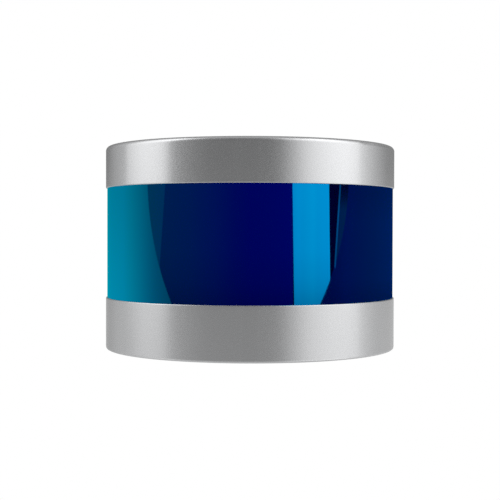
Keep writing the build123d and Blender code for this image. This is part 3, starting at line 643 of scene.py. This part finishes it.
def angles(count: int) -> Array:
    """Evenly spaced angles of a full turn, in radians, without its end."""
    return np.arange(count) * FULL_TURN / count


def polygon_radius(turn: Array, across_flats: float, sides: int) -> Array:
    """Distance from a regular polygon's middle to its edge, in each direction.

    It is half the width across flats over the cosine of the angle to the nearest flat's middle.

    Args:
        turn: the directions, in radians.
        across_flats: the polygon's width.
        sides: how many sides it has.

    Returns:
        The distance for each direction.
    """
    step = FULL_TURN / sides
    return across_flats / 2 / np.cos((turn + step / 2) % step - step / 2)


def rounded_box_radius(turn: Array, half_width: float, half_height: float, corner: float) -> Array:
    """Distance from the middle of a rounded rectangle to its edge, in each direction.

    It is the nearer of the two straight sides, or where the direction passes a corner, the far
    crossing of a ray with the corner's circle.

    Args:
        turn: the directions, in radians.
        half_width: half the rectangle's width.
        half_height: half its height.
        corner: radius of its corners.

    Returns:
        The distance for each direction.
    """
    cos, sin = np.abs(np.cos(turn)), np.abs(np.sin(turn))
    straight = np.minimum(half_width / np.maximum(cos, TINY), half_height / np.maximum(sin, TINY))
    centre_x, centre_y = half_width - corner, half_height - corner
    along = centre_x * cos + centre_y * sin
    inside = np.maximum(along**2 - centre_x**2 - centre_y**2 + corner**2, 0.0)
    round_part = along + np.sqrt(inside)
    in_corner = (straight * cos > centre_x) & (straight * sin > centre_y)
    return np.where(in_corner, round_part, straight)


# ---- Pieces that stand in for CAD nodes, or add to them ----


Rings = list[tuple[Array, float]]


def thread_wave(along: float, pitch: float, turn: Array) -> Array:
    """A triangle wave from 0 to 1 of the distance over the pitch minus the turn."""
    return np.abs(((along / pitch - turn / FULL_TURN) % 1.0) * 2 - 1)


@dataclass(frozen=True)
class SocketScrew:
    """A hexagon-socket screw: its head, recess and threaded shank are one turned surface."""

    head_radius: float
    head_height: float
    shank_radius: float
    length: float
    countersunk: bool = False
    knurls: int = 30
    pitch: float = 0.45 * MILLIMETRE
    cap_socket_depth: float = 0.88 * MILLIMETRE
    countersunk_socket_depth: float = 0.66 * MILLIMETRE
    thread_share: float = 0.14
    knurl_share: float = 0.035

    def head_rings(self, turn: Array) -> Rings:
        """Radius of every column, and height, for each ring from the socket's middle to the shank's top.

        The profile runs up the socket's hexagon wall, over the head and down the knurled side, or
        down the cone where the screw is countersunk. A knurl takes a share of the head's radius by
        the absolute sine of the angle.

        Args:
            turn: angle of each column.

        Returns:
            The rings.
        """
        one = np.ones(len(turn))
        mm = MILLIMETRE
        hexagon = polygon_radius(turn, 1.05 * self.head_radius, 6)
        chamfer = 0.12 * self.head_radius
        top = 0.0 if self.countersunk else self.head_height
        floor = top - (self.countersunk_socket_depth if self.countersunk else self.cap_socket_depth)
        rings = [
            (0 * one, floor - 0.1 * mm), (0.35 * hexagon, floor - 0.08 * mm), (0.98 * hexagon, floor),
            (hexagon, top - 0.12 * mm), (1.06 * hexagon, top), ((self.head_radius - chamfer) * one, top),
        ]
        if self.countersunk:
            cone = [(self.head_radius * one, top - 0.15 * mm), (self.shank_radius * one, -self.head_height)]
            return rings + cone
        knurled = self.head_radius * (1 - self.knurl_share * np.abs(np.sin(turn * self.knurls / 2)))
        return rings + [
            (0.985 * self.head_radius * one, top - 0.7 * chamfer), (knurled, top - 1.4 * chamfer),
            (knurled, 0.2 * mm), (0.96 * self.head_radius * one, 0.0), (self.shank_radius * one, 0.0),
        ]

    def surface(self, columns: int = 60) -> Shell:
        """The screw with its seat at height 0 and its shank downwards.

        After the head the profile runs along the shank to the tip. The thread takes a share of the
        radius by its wave.

        Args:
            columns: points round each ring.

        Returns:
            The closed surface.
        """
        turn = angles(columns)
        one = np.ones(columns)
        rings = self.head_rings(turn)
        start = rings[-1][1]
        tip = start - self.length
        last = tip + 0.4 * self.shank_radius
        for height in np.arange(start - 0.5 * self.pitch, last, -self.pitch / 4):
            wave = thread_wave(height, self.pitch, turn)
            rings.append((self.shank_radius * (1 - self.thread_share * wave), float(height)))
        rings += [(0.6 * self.shank_radius * one, tip), (0 * one, tip)]
        rows = [
            np.stack([radius * np.cos(turn), radius * np.sin(turn), np.full(columns, height)], axis=-1)
            for radius, height in rings
        ]
        return closed_shell(np.array(rows), poles=True)


Vector = Sequence[float]


def placed(shell: Shell, x_axis: Vector, z_axis: Vector, origin: Vector) -> Shell:
    """A surface turned and moved.

    Args:
        shell: the surface in its own axes.
        x_axis: where its X axis points.
        z_axis: where its Z axis points.
        origin: where its origin goes, in metres.

    Returns:
        The placed surface.
    """
    x, z = np.array(x_axis, float), np.array(z_axis, float)
    turn = np.stack([x, np.cross(z, x), z])
    return Shell(shell.points @ turn + np.array(origin, float), shell.faces)


@dataclass
class PlateScrews:
    """The countersunk screws that hold the base plate."""

    finishes: Finishes
    count: int = 6
    head_radius: float = 2.25 * MILLIMETRE
    head_height: float = 1.0 * MILLIMETRE
    shank_radius: float = 1.25 * MILLIMETRE
    length: float = 6.3 * MILLIMETRE
    name: str = "plate_screws_socketed"

    def build(self) -> bpy.types.Object:
        """Screws at the places of the CAD node's, heads down.

        Returns:
            The piece.
        """
        low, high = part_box("base_plate_screws")
        circle = high.x - self.head_radius
        sizes = (self.head_radius, self.head_height, self.shank_radius, self.length)
        screw = SocketScrew(*sizes, countersunk=True)
        shells = []
        for turn in angles(self.count):
            out = (math.cos(turn), math.sin(turn), 0.0)
            seat = (out[0] * circle, out[1] * circle, low.z)
            shells.append(placed(screw.surface(), out, (0, 0, -1), seat))
        piece = new_piece(self.name, shells)
        self.finishes.dress(piece, "screw_steel")
        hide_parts("base_plate_screws")
        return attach(piece, "base")


@dataclass
class MountingThread:
    """Wire thread insert in the mounting hole: a wound wire of four-sided section."""

    finishes: Finishes
    radius: float = 2.55 * MILLIMETRE
    stand: float = 0.28 * MILLIMETRE
    pitch: float = 1.27 * MILLIMETRE
    start: float = 0.35 * MILLIMETRE
    end: float = 6.9 * MILLIMETRE
    steps_a_turn: int = 48
    inset: float = 0.45
    taper: float = 5.0
    thinnest: float = 1e-3
    section: tuple[tuple[float, float], ...] = ((-0.55, 0.0), (0.0, -0.483), (0.4125, 0.0), (0.0, 0.483))
    crisp_edge: float = 60.0
    name: str = "mounting_thread_insert"

    def build(self) -> bpy.types.Object:
        """The wire.

        Its middle line is a helix: the angle grows evenly while the height grows a pitch a turn. At
        each step four corners stand round that line: towards the axis, down, outwards and up, each by
        its share of the wire's stand. The section grows by the taper each turn from either end.

        Returns:
            The piece.
        """
        turns = (self.end - self.start) / self.pitch
        share = np.linspace(0.0, 1.0, int(turns * self.steps_a_turn))
        turn = share * turns * FULL_TURN
        size = np.minimum(1.0, np.minimum(share, 1 - share) * turns * self.taper) + self.thinnest
        reach = self.radius - self.inset * self.stand
        rings = []
        for out, up in self.section:
            radius = reach + out * self.stand * size
            height = self.start + share * turns * self.pitch + up * self.stand * size
            rings.append(np.stack([radius * np.cos(turn), radius * np.sin(turn), height], axis=-1))
        rows = np.stack(rings, axis=1)
        first, last = (np.repeat(rows[i].mean(axis=0, keepdims=True), 4, axis=0)[None] for i in (0, -1))
        wire = closed_shell(np.concatenate([first, rows, last]), poles=True)
        piece = new_piece(self.name, [wire], self.crisp_edge)
        self.finishes.dress(piece, "screw_steel")
        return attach(piece, "base")


@dataclass
class CableSocket:
    """The receptacle at the back: flange, threaded nose, keyed cup and knurled screws."""

    finishes: Finishes
    nose_radius: float = 6.0 * MILLIMETRE
    cup_radius: float = 4.4 * MILLIMETRE
    bore_radius: float = 4.75 * MILLIMETRE
    cup_depth: float = 7.0 * MILLIMETRE
    flange_thickness: float = 2.5 * MILLIMETRE
    flange_corner: float = 4.5 * MILLIMETRE
    flange_bevel: float = 0.35 * MILLIMETRE
    thread_pitch: float = 1.0 * MILLIMETRE
    thread_depth: float = 0.5 * MILLIMETRE
    thread_run_out: float = 0.6 * MILLIMETRE
    key_half_width: float = 0.6 * MILLIMETRE
    key_height: float = 0.5 * MILLIMETRE
    screw_spacing: float = 22.0 * MILLIMETRE
    screw_head_radius: float = 2.25 * MILLIMETRE
    screw_head_height: float = 1.8 * MILLIMETRE
    screw_shank_radius: float = 1.25 * MILLIMETRE
    screw_length: float = 7.9 * MILLIMETRE
    columns: int = 240
    screw_columns: int = 90
    shell_name: str = "cable_socket_threaded"
    screws_name: str = "cable_socket_screws"

    def flange_rings(self, turn: Array, low: float, half_width: float, half_height: float) -> Rings:
        """Rings of the shell's bore and of its flange, whose edge is a rounded rectangle.

        Args:
            turn: angle of each column, from +X towards up.
            low: where the flange's back face lies along Y.
            half_width: half the flange's width.
            half_height: half its height.

        Returns:
            The rings, up to the flange's front face.
        """
        bevel, corner = self.flange_bevel, self.flange_corner
        outline = rounded_box_radius(turn, half_width, half_height, corner)
        inset = rounded_box_radius(turn, half_width - bevel, half_height - bevel, corner - bevel)
        face = low + self.flange_thickness
        bore = np.full(len(turn), self.bore_radius)
        return [(bore, low), (inset, low), (outline, low + bevel), (outline, face - bevel), (inset, face)]

    def nose_rings(self, turn: Array, face: float, high: float) -> Rings:
        """Rings of the nose, with its thread.

        The radius falls by the thread's wave, faded out at both ends of the thread.

        Args:
            turn: angle of each column, from +X towards up.
            face: where the flange's front face lies along Y.
            high: where the nose ends along Y.

        Returns:
            The rings, from the flange's front face to the thread's end.
        """
        one = np.ones(len(turn))
        mm = MILLIMETRE
        neck = 0.93 * self.nose_radius * one
        rings = [
            ((self.nose_radius + 0.5 * mm) * one, face),
            ((self.nose_radius + 0.12 * mm) * one, face + 0.12 * mm),
            (neck, face + 0.35 * mm),
            (neck, face + 0.9 * mm),
        ]
        start, end = face + 1.0 * mm, high - 0.45 * mm
        for along in np.arange(start, end, self.thread_pitch / 10):
            wave = thread_wave(along, self.thread_pitch, turn)
            cut = np.clip(1.25 * wave - 0.12, 0.0, 1.0) * self.thread_depth
            fade = min(1.0, (along - start) / mm) * min(1.0, (end - along) / self.thread_run_out)
            rings.append((self.nose_radius - cut * fade, float(along)))
        return rings

    def cup_rings(self, turn: Array, high: float) -> Rings:
        """Rings of the nose's rim and of the cup inside it.

        The cup's wall stands in by the key's height within half the key's width of the top.

        Args:
            turn: angle of each column, from +X towards up.
            high: where the nose ends along Y.

        Returns:
            The rings, from the rim to the cup's floor.
        """
        one = np.ones(len(turn))
        mm = MILLIMETRE
        from_top = np.abs(np.sin(turn - math.pi / 2)) * self.cup_radius
        key = (from_top < self.key_half_width) & (np.sin(turn) > 0)
        keyed = self.cup_radius - np.where(key, self.key_height, 0.0)
        floor = high - self.cup_depth
        return [
            ((self.nose_radius - 0.4 * mm) * one, high), ((self.cup_radius + 0.25 * mm) * one, high),
            (self.cup_radius * one, high - 0.25 * mm), (self.cup_radius * one, high - 0.75 * mm),
            (keyed, high - 0.8 * mm), (keyed, floor), (self.bore_radius * one, floor - 0.02 * mm),
        ]

    def build_shell(self) -> bpy.types.Object:
        """The receptacle's metal shell, at the CAD node's place.

        Returns:
            The piece.
        """
        low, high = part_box("connector_shell")
        middle = (low.z + high.z) / 2
        turn = angles(self.columns)
        rings = self.flange_rings(turn, low.y, (high.x - low.x) / 2, (high.z - low.z) / 2)
        rings += self.nose_rings(turn, low.y + self.flange_thickness, high.y)
        rings += self.cup_rings(turn, high.y)
        one = np.ones(self.columns)
        rows = [
            np.stack([radius * np.cos(turn), along * one, middle + radius * np.sin(turn)], axis=-1)
            for radius, along in rings
        ]
        piece = new_piece(self.shell_name, [closed_shell(np.array(rows))])
        self.finishes.dress(piece, "connector_nickel")
        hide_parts("connector_shell")
        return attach(piece, "base")

    def build_screws(self) -> bpy.types.Object:
        """The two flange screws, with knurled heads.

        Returns:
            The piece.
        """
        low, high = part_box("connector_shell")
        face = low.y + self.flange_thickness
        middle = (low.z + high.z) / 2
        screw = SocketScrew(
            self.screw_head_radius, self.screw_head_height, self.screw_shank_radius, self.screw_length,
        )
        shells = [
            placed(screw.surface(self.screw_columns), (1, 0, 0), (0, 1, 0), (across, face, middle))
            for across in (-self.screw_spacing / 2, self.screw_spacing / 2)
        ]
        piece = new_piece(self.screws_name, shells)
        self.finishes.dress(piece, "screw_steel")
        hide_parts("connector_screws")
        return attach(piece, "base")


# ---- Studio ----


STUDIO_BOTTOM = -1.4
STUDIO_TOP = 2.6

Path = tuple[tuple[float, float], ...]
Stops = tuple[tuple[float, Colour], ...]


def collect(name: str, objects: Iterable[bpy.types.Object]) -> bpy.types.Collection:
    """A group of objects that a light may be kept to.

    Args:
        name: the group's name.
        objects: what goes into it.

    Returns:
        The group.
    """
    group = bpy.data.collections.new(name)
    for obj in objects:
        group.objects.link(obj)
    return group


def grey(value: float) -> Colour:
    """An even grey."""
    return (value, value, value)


def smooth(share: Array) -> Array:
    """An S-curve from 0 to 1: three times the square less twice the cube."""
    share = np.clip(share, 0.0, 1.0)
    return share * share * (3 - 2 * share)


@dataclass(frozen=True)
class Edge:
    """A card's side: its azimuth in degrees is a parabola of the height in metres.

    Beyond its lowest and highest places the side runs straight up and down.
    """

    start: float
    lean: float = 0.0
    bow: float = 0.0
    lowest: float = -0.046
    highest: float = 0.1

    def azimuth(self, height: Array) -> Array:
        """The start, plus the lean times the height, plus the bow times the height squared."""
        held = np.clip(height, self.lowest, self.highest)
        return self.start + self.lean * held + self.bow * held**2


@dataclass(frozen=True)
class GlowCard:
    """A glowing card curved round the spin axis, seen in reflections only.

    Azimuth 0 is the front, towards -Y, and positive azimuth is towards +X.
    """

    name: str
    low: float = STUDIO_BOTTOM
    high: float = STUDIO_TOP
    radius: float = 1.0
    close_from: float = -0.08
    close_to: float = 0.16
    close_rows: int = 97
    far_rows: int = 9

    def sides(self, rows: Array) -> tuple[Array, Array]:
        """Azimuths of the left and right sides, in degrees, at each height."""
        return np.full(rows.shape, -180.0), np.full(rows.shape, 180.0)

    def glow_at(self, azimuth: Array, height: Array) -> Array:
        """Colour at each azimuth in degrees and height."""
        raise NotImplementedError

    def rows(self) -> Array:
        """Places the mesh's rows: close together round the scanner's height, far apart beyond.

        Returns:
            The height of each row.
        """
        close = np.linspace(self.close_from, self.close_to, self.close_rows)
        far = np.linspace(self.low, self.high, self.far_rows)
        rows = np.unique(np.concatenate([close, far]))
        return rows[(rows >= self.low) & (rows <= self.high)]

    def build(self, receivers: bpy.types.Collection) -> bpy.types.Object:
        """The card: at each height its azimuth runs evenly from its left side to its right one.

        Args:
            receivers: the objects that it lights.

        Returns:
            The card, with its glow stored at its points.
        """
        rows = self.rows()
        left, right = self.sides(rows)
        across = np.linspace(0, 1, 2 + int(np.max(right - left)))
        azimuth = left[:, None] * (1 - across) + right[:, None] * across
        height = np.repeat(rows[:, None], len(across), axis=1)
        turn = np.radians(azimuth)
        points = np.stack([self.radius * np.sin(turn), -self.radius * np.cos(turn), height], axis=-1)
        index = np.arange(height.size).reshape(height.shape)
        corners = [index[:-1, :-1], index[:-1, 1:], index[1:, 1:], index[1:, :-1]]
        mesh = bpy.data.meshes.new(self.name)
        faces = np.stack(corners, axis=-1).reshape(-1, 4)
        mesh.from_pydata(points.reshape(-1, 3).tolist(), [], faces.tolist())
        colours = np.ones((height.size, 4))
        colours[:, :3] = self.glow_at(azimuth, height).reshape(-1, 3)
        layer = mesh.color_attributes.new("glow", "FLOAT_COLOR", "POINT")
        layer.data.foreach_set("color", colours.ravel())
        graph = Graph(self.name + "_glow")
        stored = graph.node("ShaderNodeAttribute", {"attribute_name": "glow"}).outputs["Color"]
        return light_only(mesh, see_through_glow(graph, stored), receivers)


@dataclass(frozen=True)
class LightCard(GlowCard):
    """A card with curved sides, cut off by a second side on its right where it has one.

    Its glow goes through stops of azimuth and colour, and is scaled by stops of height and factor.
    """

    left: Edge = Edge(-180.0)
    right: Edge = Edge(180.0)
    cut: Edge = Edge(180.0)
    stops: Stops = ((0.0, (1.0, 1.0, 1.0)),)
    factors: Path = ((0.0, 1.0),)

    def sides(self, rows: Array) -> tuple[Array, Array]:
        """The left side, and the nearer of the two right sides, never left of the left one.

        Args:
            rows: the heights.

        Returns:
            The azimuths of both sides, in degrees.
        """
        left = self.left.azimuth(rows)
        nearer = np.minimum(self.right.azimuth(rows), self.cut.azimuth(rows))
        return left, np.maximum(left, nearer)

    def glow_at(self, azimuth: Array, height: Array) -> Array:
        """Each channel runs straight between its stops, and is scaled by the factor at that height.

        Args:
            azimuth: the azimuths, in degrees.
            height: the height of each place.

        Returns:
            The colour at each place.
        """
        places = [stop[0] for stop in self.stops]
        channels = [np.interp(azimuth, places, [stop[1][i] for stop in self.stops]) for i in range(3)]
        return np.stack(channels, axis=-1) * np.interp(height, *zip(*self.factors))[..., None]


@dataclass(frozen=True)
class SoftBox:
    """One bright stretch of the studio's walls, from one azimuth to another in degrees.

    It has one brightness up high and one down low, and each of its ends fades over its own width.
    """

    start: float
    end: float
    high: float
    low: float
    start_fade: float = 1.0
    end_fade: float = 1.0

    def at(self, azimuth: Array, lift: Array) -> Array:
        """Brightness at each azimuth.

        It is an S-curve up at the start times one down at the end, times a mix of the low and the
        high brightness.

        Args:
            azimuth: the azimuths, in degrees.
            lift: the share of the high brightness at each place, from 0 to 1.

        Returns:
            The brightness.
        """
        rise = smooth((azimuth - self.start) / self.start_fade + 0.5)
        fall = smooth((self.end - azimuth) / self.end_fade + 0.5)
        return rise * fall * (self.low + (self.high - self.low) * lift)


@dataclass(frozen=True)
class StudioWalls(GlowCard):
    """The walls all round, whose glow is the sum of soft boxes."""

    boxes: tuple[SoftBox, ...] = ()
    lift_from: float = -0.11
    lift_to: float = 0.15
    far_from: float = 0.25
    far_depth: float = 0.8
    far_gain: float = 0.35

    def glow_at(self, azimuth: Array, height: Array) -> Array:
        """The sum of every box's brightness, raised by a gain far above and below the middle height.

        Args:
            azimuth: the azimuths, in degrees.
            height: the height of each place, in metres.

        Returns:
            The grey at each place, as a colour.
        """
        lift = np.clip((height - self.lift_from) / (self.lift_to - self.lift_from), 0, 1)
        away = np.abs(height - (self.lift_from + self.lift_to) / 2) - self.far_from
        far = 1 + self.far_gain * smooth(away / self.far_depth)
        total = far * sum(box.at(azimuth, lift) for box in self.boxes)
        return np.repeat(total[..., None], 3, axis=-1)


def see_through_glow(graph: Graph, colour: object) -> bpy.types.Material:
    """A glow that adds to whatever lies behind it.

    Args:
        graph: an empty material.
        colour: the glow's colour, or the socket that gives it.

    Returns:
        The finished material.
    """
    glow = graph.node("ShaderNodeEmission", {}, {"Color": colour})
    clear = graph.node("ShaderNodeBsdfTransparent")
    return graph.done(graph.node("ShaderNodeAddShader", {}, {0: glow.outputs[0], 1: clear.outputs[0]}))


def light_only(
    mesh: bpy.types.Mesh, glow: bpy.types.Material, receivers: bpy.types.Collection,
) -> bpy.types.Object:
    """A glowing object that the camera can't see and that lights its receivers alone.

    Args:
        mesh: its shape, which names it.
        glow: its material.
        receivers: the objects that it lights.

    Returns:
        The object.
    """
    mesh.materials.append(glow)
    obj = bpy.data.objects.new(mesh.name, mesh)
    bpy.context.scene.collection.objects.link(obj)
    obj.visible_camera = False
    obj.visible_diffuse = False
    obj.visible_shadow = False
    obj.light_linking.receiver_collection = receivers
    return obj


def disc_mesh(name: str, radius: float, height: float, rings: int, columns: int) -> bpy.types.Mesh:
    """A level disc that faces up: rings of points whose distance from the axis grows evenly.

    Args:
        name: the mesh's name.
        radius: its radius.
        height: its height.
        rings: rings round its middle point.
        columns: points in each ring.

    Returns:
        The mesh.
    """
    share, turn = np.meshgrid(np.linspace(0, 1, rings + 1), angles(columns), indexing="ij")
    reach = share * radius
    rows = np.stack([reach * np.cos(turn), reach * np.sin(turn), np.full(turn.shape, height)], axis=-1)
    points = np.vstack([rows[0, :1], rows[1:].reshape(-1, 3)])
    index = np.arange(1, 1 + rings * columns).reshape(rings, columns)
    fan = [(0, int(a), int(b)) for a, b in zip(index[0], np.roll(index[0], -1))]
    mesh = bpy.data.meshes.new(name)
    mesh.from_pydata(points.tolist(), [], [tuple(reversed(face)) for face in _quads(index)] + fan)
    return mesh


@dataclass(frozen=True)
class GlowDisc:
    """A glowing level disc above or below the scanner, for what faces straight up or down."""

    name: str
    height: float
    strength: float
    radius: float = 1.3

    def build(self, receivers: bpy.types.Collection) -> bpy.types.Object:
        """Makes the disc.

        Args:
            receivers: the objects that it lights.

        Returns:
            The disc.
        """
        mesh = disc_mesh(self.name, self.radius, self.height, rings=4, columns=48)
        glow = see_through_glow(Graph(self.name + "_glow"), (*grey(self.strength), 1.0))
        return light_only(mesh, glow, receivers)


@dataclass
class Studio:
    """Floor, white surroundings, light cards and camera."""

    window: Sequence[bpy.types.Object]
    others: Sequence[bpy.types.Object]
    camera_distance: float = 0.3876
    camera_height: float = 0.0409
    camera_tilt: float = 0.870
    camera_roll: float = -0.12
    lens: float = 77.1
    floor_radius: float = 4.0
    floor_drop: float = 0.2 * MILLIMETRE

    def window_cards(self) -> list[LightCard]:
        """What the window mirrors: a teal card at the left, a white strip and dim blue walls.

        Returns:
            The cards.
        """
        inner, strip_end = Edge(-72.5, -214, 900), Edge(-72.4, 52)
        line, beside_line, curve = Edge(66.6, 48), Edge(68.1, 48), Edge(66.7, 238, -1000)
        return [
            LightCard(
                "left_card", right=inner,
                factors=((-0.045, 1.12), (0.0, 1.06), (0.021, 1.02), (0.091, 0.9)),
                stops=((-180.0, (0, 0.54, 0.42)), (-150.0, (0, 0.54, 0.42)), (-116.0, (0, 0.47, 0.48)),
                       (-94.0, (0, 0.38, 0.38)), (-76.0, (0, 0.25, 0.26)), (-60.0, (0, 0.19, 0.18))),
            ),
            LightCard(
                "left_strip", radius=1.01, left=inner, right=strip_end,
                stops=((0.0, (0, 0.062, 0.05)),),
            ),
            LightCard(
                "front_wall", radius=1.02, left=inner, right=Edge(32.4),
                factors=((-0.045, 0.55), (-0.02, 0.8), (0.02, 1.0), (0.095, 1.06)),
                stops=((-86.0, (0, 0.045, 0.085)), (-46.0, (0, 0.053, 0.157)), (-26.0, (0, 0.039, 0.21)),
                       (-11.0, (0, 0.017, 0.25)), (0.0, (0, 0.006, 0.285)), (33.0, (0, 0.005, 0.28))),
            ),
            LightCard(
                "white_strip", left=Edge(32.8, -11), right=Edge(62.9, -11), cut=curve,
                factors=((-0.046, 0.6), (-0.028, 0.76), (-0.009, 0.88), (0.021, 1.0), (0.091, 1.06)),
                stops=((32.5, grey(1.66)), (36.0, grey(1.75)), (40.0, grey(1.64)), (48.0, grey(1.6)),
                       (52.0, (0, 1.42, 1.5)), (64.0, (0, 1.18, 1.4))),
            ),
            LightCard(
                "thin_line", low=0.0, high=0.12, left=line, right=beside_line,
                stops=((0.0, (0, 0.26, 0.42)),), factors=((0.0, 0.7), (0.066, 1.0), (0.098, 0.6)),
            ),
            LightCard(
                "narrow_wall", radius=1.01, low=0.0, high=0.12, left=beside_line, right=curve,
                stops=((0.0, (0, 0.05, 0.11)),), factors=((0.07, 1.0), (0.085, 0.35), (0.099, 0.1)),
            ),
            LightCard(
                "right_wall", radius=1.02, left=curve,
                factors=((-0.04, 0.72), (-0.015, 0.95), (0.055, 1.0), (0.091, 0.85)),
                stops=((55.0, (0, 0.012, 0.085)), (78.0, (0, 0.02, 0.13)), (89.0, (0, 0.021, 0.115)),
                       (110.0, (0, 0.023, 0.108)), (143.0, (0, 0.03, 0.115))),
            ),
        ]

    def paint_walls(self) -> StudioWalls:
        """What everything but the window mirrors: bright on both sides, dim in front and behind.

        Returns:
            The walls.
        """
        return StudioWalls("studio_walls", radius=1.3, boxes=(
            SoftBox(-200, 200, 0.10, 0.31),
            SoftBox(-138, -110, 0.38, 0.27, start_fade=44),
            SoftBox(-110, -64, 0.95, 0.23, end_fade=8),
            SoftBox(-98, -55, 0.36, 0.22, start_fade=24, end_fade=60),
            SoftBox(33, 108, 1.00, 0.60, start_fade=32, end_fade=60),
            SoftBox(56, 92, 0.45, 0.19, start_fade=40),
            SoftBox(118, 200, 0.14, 0.26, start_fade=30),
            SoftBox(-200, -150, 0.12, 0.20, end_fade=30),
        ))

    def build_lights(self) -> None:
        """The cards for the window alone, and the walls and discs for everything else."""
        window, others = collect("window_only", self.window), collect("all_but_window", self.others)
        GlowDisc("ceiling_glow", STUDIO_TOP, 0.45).build(others)
        GlowDisc("ground_glow", STUDIO_BOTTOM, 0.65).build(others)
        cards = self.window_cards()
        for card in cards:
            card.build(window)
        self.paint_walls().build(others)
        LOG.info("studio: %d cards for the window, one ring of walls for the rest", len(cards))

    def build_world(self) -> None:
        """White surroundings that light surfaces evenly but don't mirror in them."""
        world = bpy.data.worlds.new("white_studio")
        world.use_nodes = True
        world.node_tree.nodes["Background"].inputs["Color"].default_value = (1.0, 1.0, 1.0, 1.0)
        world.cycles_visibility.glossy = False
        world.cycles_visibility.transmission = False
        bpy.context.scene.world = world

    def build_floor(self) -> bpy.types.Object:
        """A white round floor that is seen from above only, and in no reflection.

        Returns:
            The floor.
        """
        mesh = disc_mesh("pale_floor", self.floor_radius, -self.floor_drop, rings=8, columns=64)
        floor = bpy.data.objects.new("pale_floor", mesh)
        bpy.context.scene.collection.objects.link(floor)
        floor.visible_diffuse = False
        floor.visible_glossy = False
        graph = Graph("pale_floor")
        under = graph.node("ShaderNodeNewGeometry").outputs["Backfacing"]
        lit = graph.node("ShaderNodeEmission", {}, {"Color": (1.0, 1.0, 1.0, 1.0), "Strength": 1.0})
        clear = graph.node("ShaderNodeBsdfTransparent")
        mix = graph.node("ShaderNodeMixShader", {}, {0: under, 1: lit.outputs[0], 2: clear.outputs[0]})
        mesh.materials.append(graph.done(mix))
        return floor

    def build_camera(self) -> bpy.types.Object:
        """A camera in front, a little over half the object's height, that looks slightly down.

        Returns:
            The camera.
        """
        data = bpy.data.cameras.new("camera")
        data.lens = self.lens
        data.clip_start, data.clip_end = 0.01, 20.0
        camera = bpy.data.objects.new("camera", data)
        camera.location = (0.0, -self.camera_distance, self.camera_height)
        turns = (90 - self.camera_tilt, self.camera_roll, 0.0)
        camera.rotation_euler = [math.radians(turn) for turn in turns]
        bpy.context.scene.collection.objects.link(camera)
        bpy.context.scene.camera = camera
        bpy.context.scene.view_settings.view_transform = "Standard"
        return camera

    def build(self) -> None:
        """Everything of the studio, in order."""
        self.build_camera()
        self.build_world()
        self.build_floor()
        self.build_lights()


def dress_nodes(finishes: Finishes) -> None:
    """Gives each CAD node the finish of its slot in the record.

    Args:
        finishes: the scanner's finishes.
    """
    for part in frame["record"]["subparts"]:
        node = frame["nodes"][part["node"]]
        finishes.dress(node, part["material_slot"])
        LOG.info("dressed %s in %s", part["node"], part["material_slot"])


def main() -> None:
    """Dresses the CAD nodes, builds the detailed pieces and sets up the studio."""
    logging.basicConfig(level=logging.INFO, format="%(name)s: %(message)s")
    finishes = Finishes()
    dress_nodes(finishes)
    socket = CableSocket(finishes)
    pieces = [socket.build_shell(), socket.build_screws()]
    pieces += [PlateScrews(finishes).build(), MountingThread(finishes).build()]
    for piece in pieces:
        LOG.info("built %s, %d faces", piece.name, len(piece.data.polygons))
    window = frame["nodes"]["window_ring"]
    others = [node for name, node in frame["nodes"].items() if name != "window_ring"] + pieces
    Studio([window], others).build()


if __name__ == "__main__":
    main()
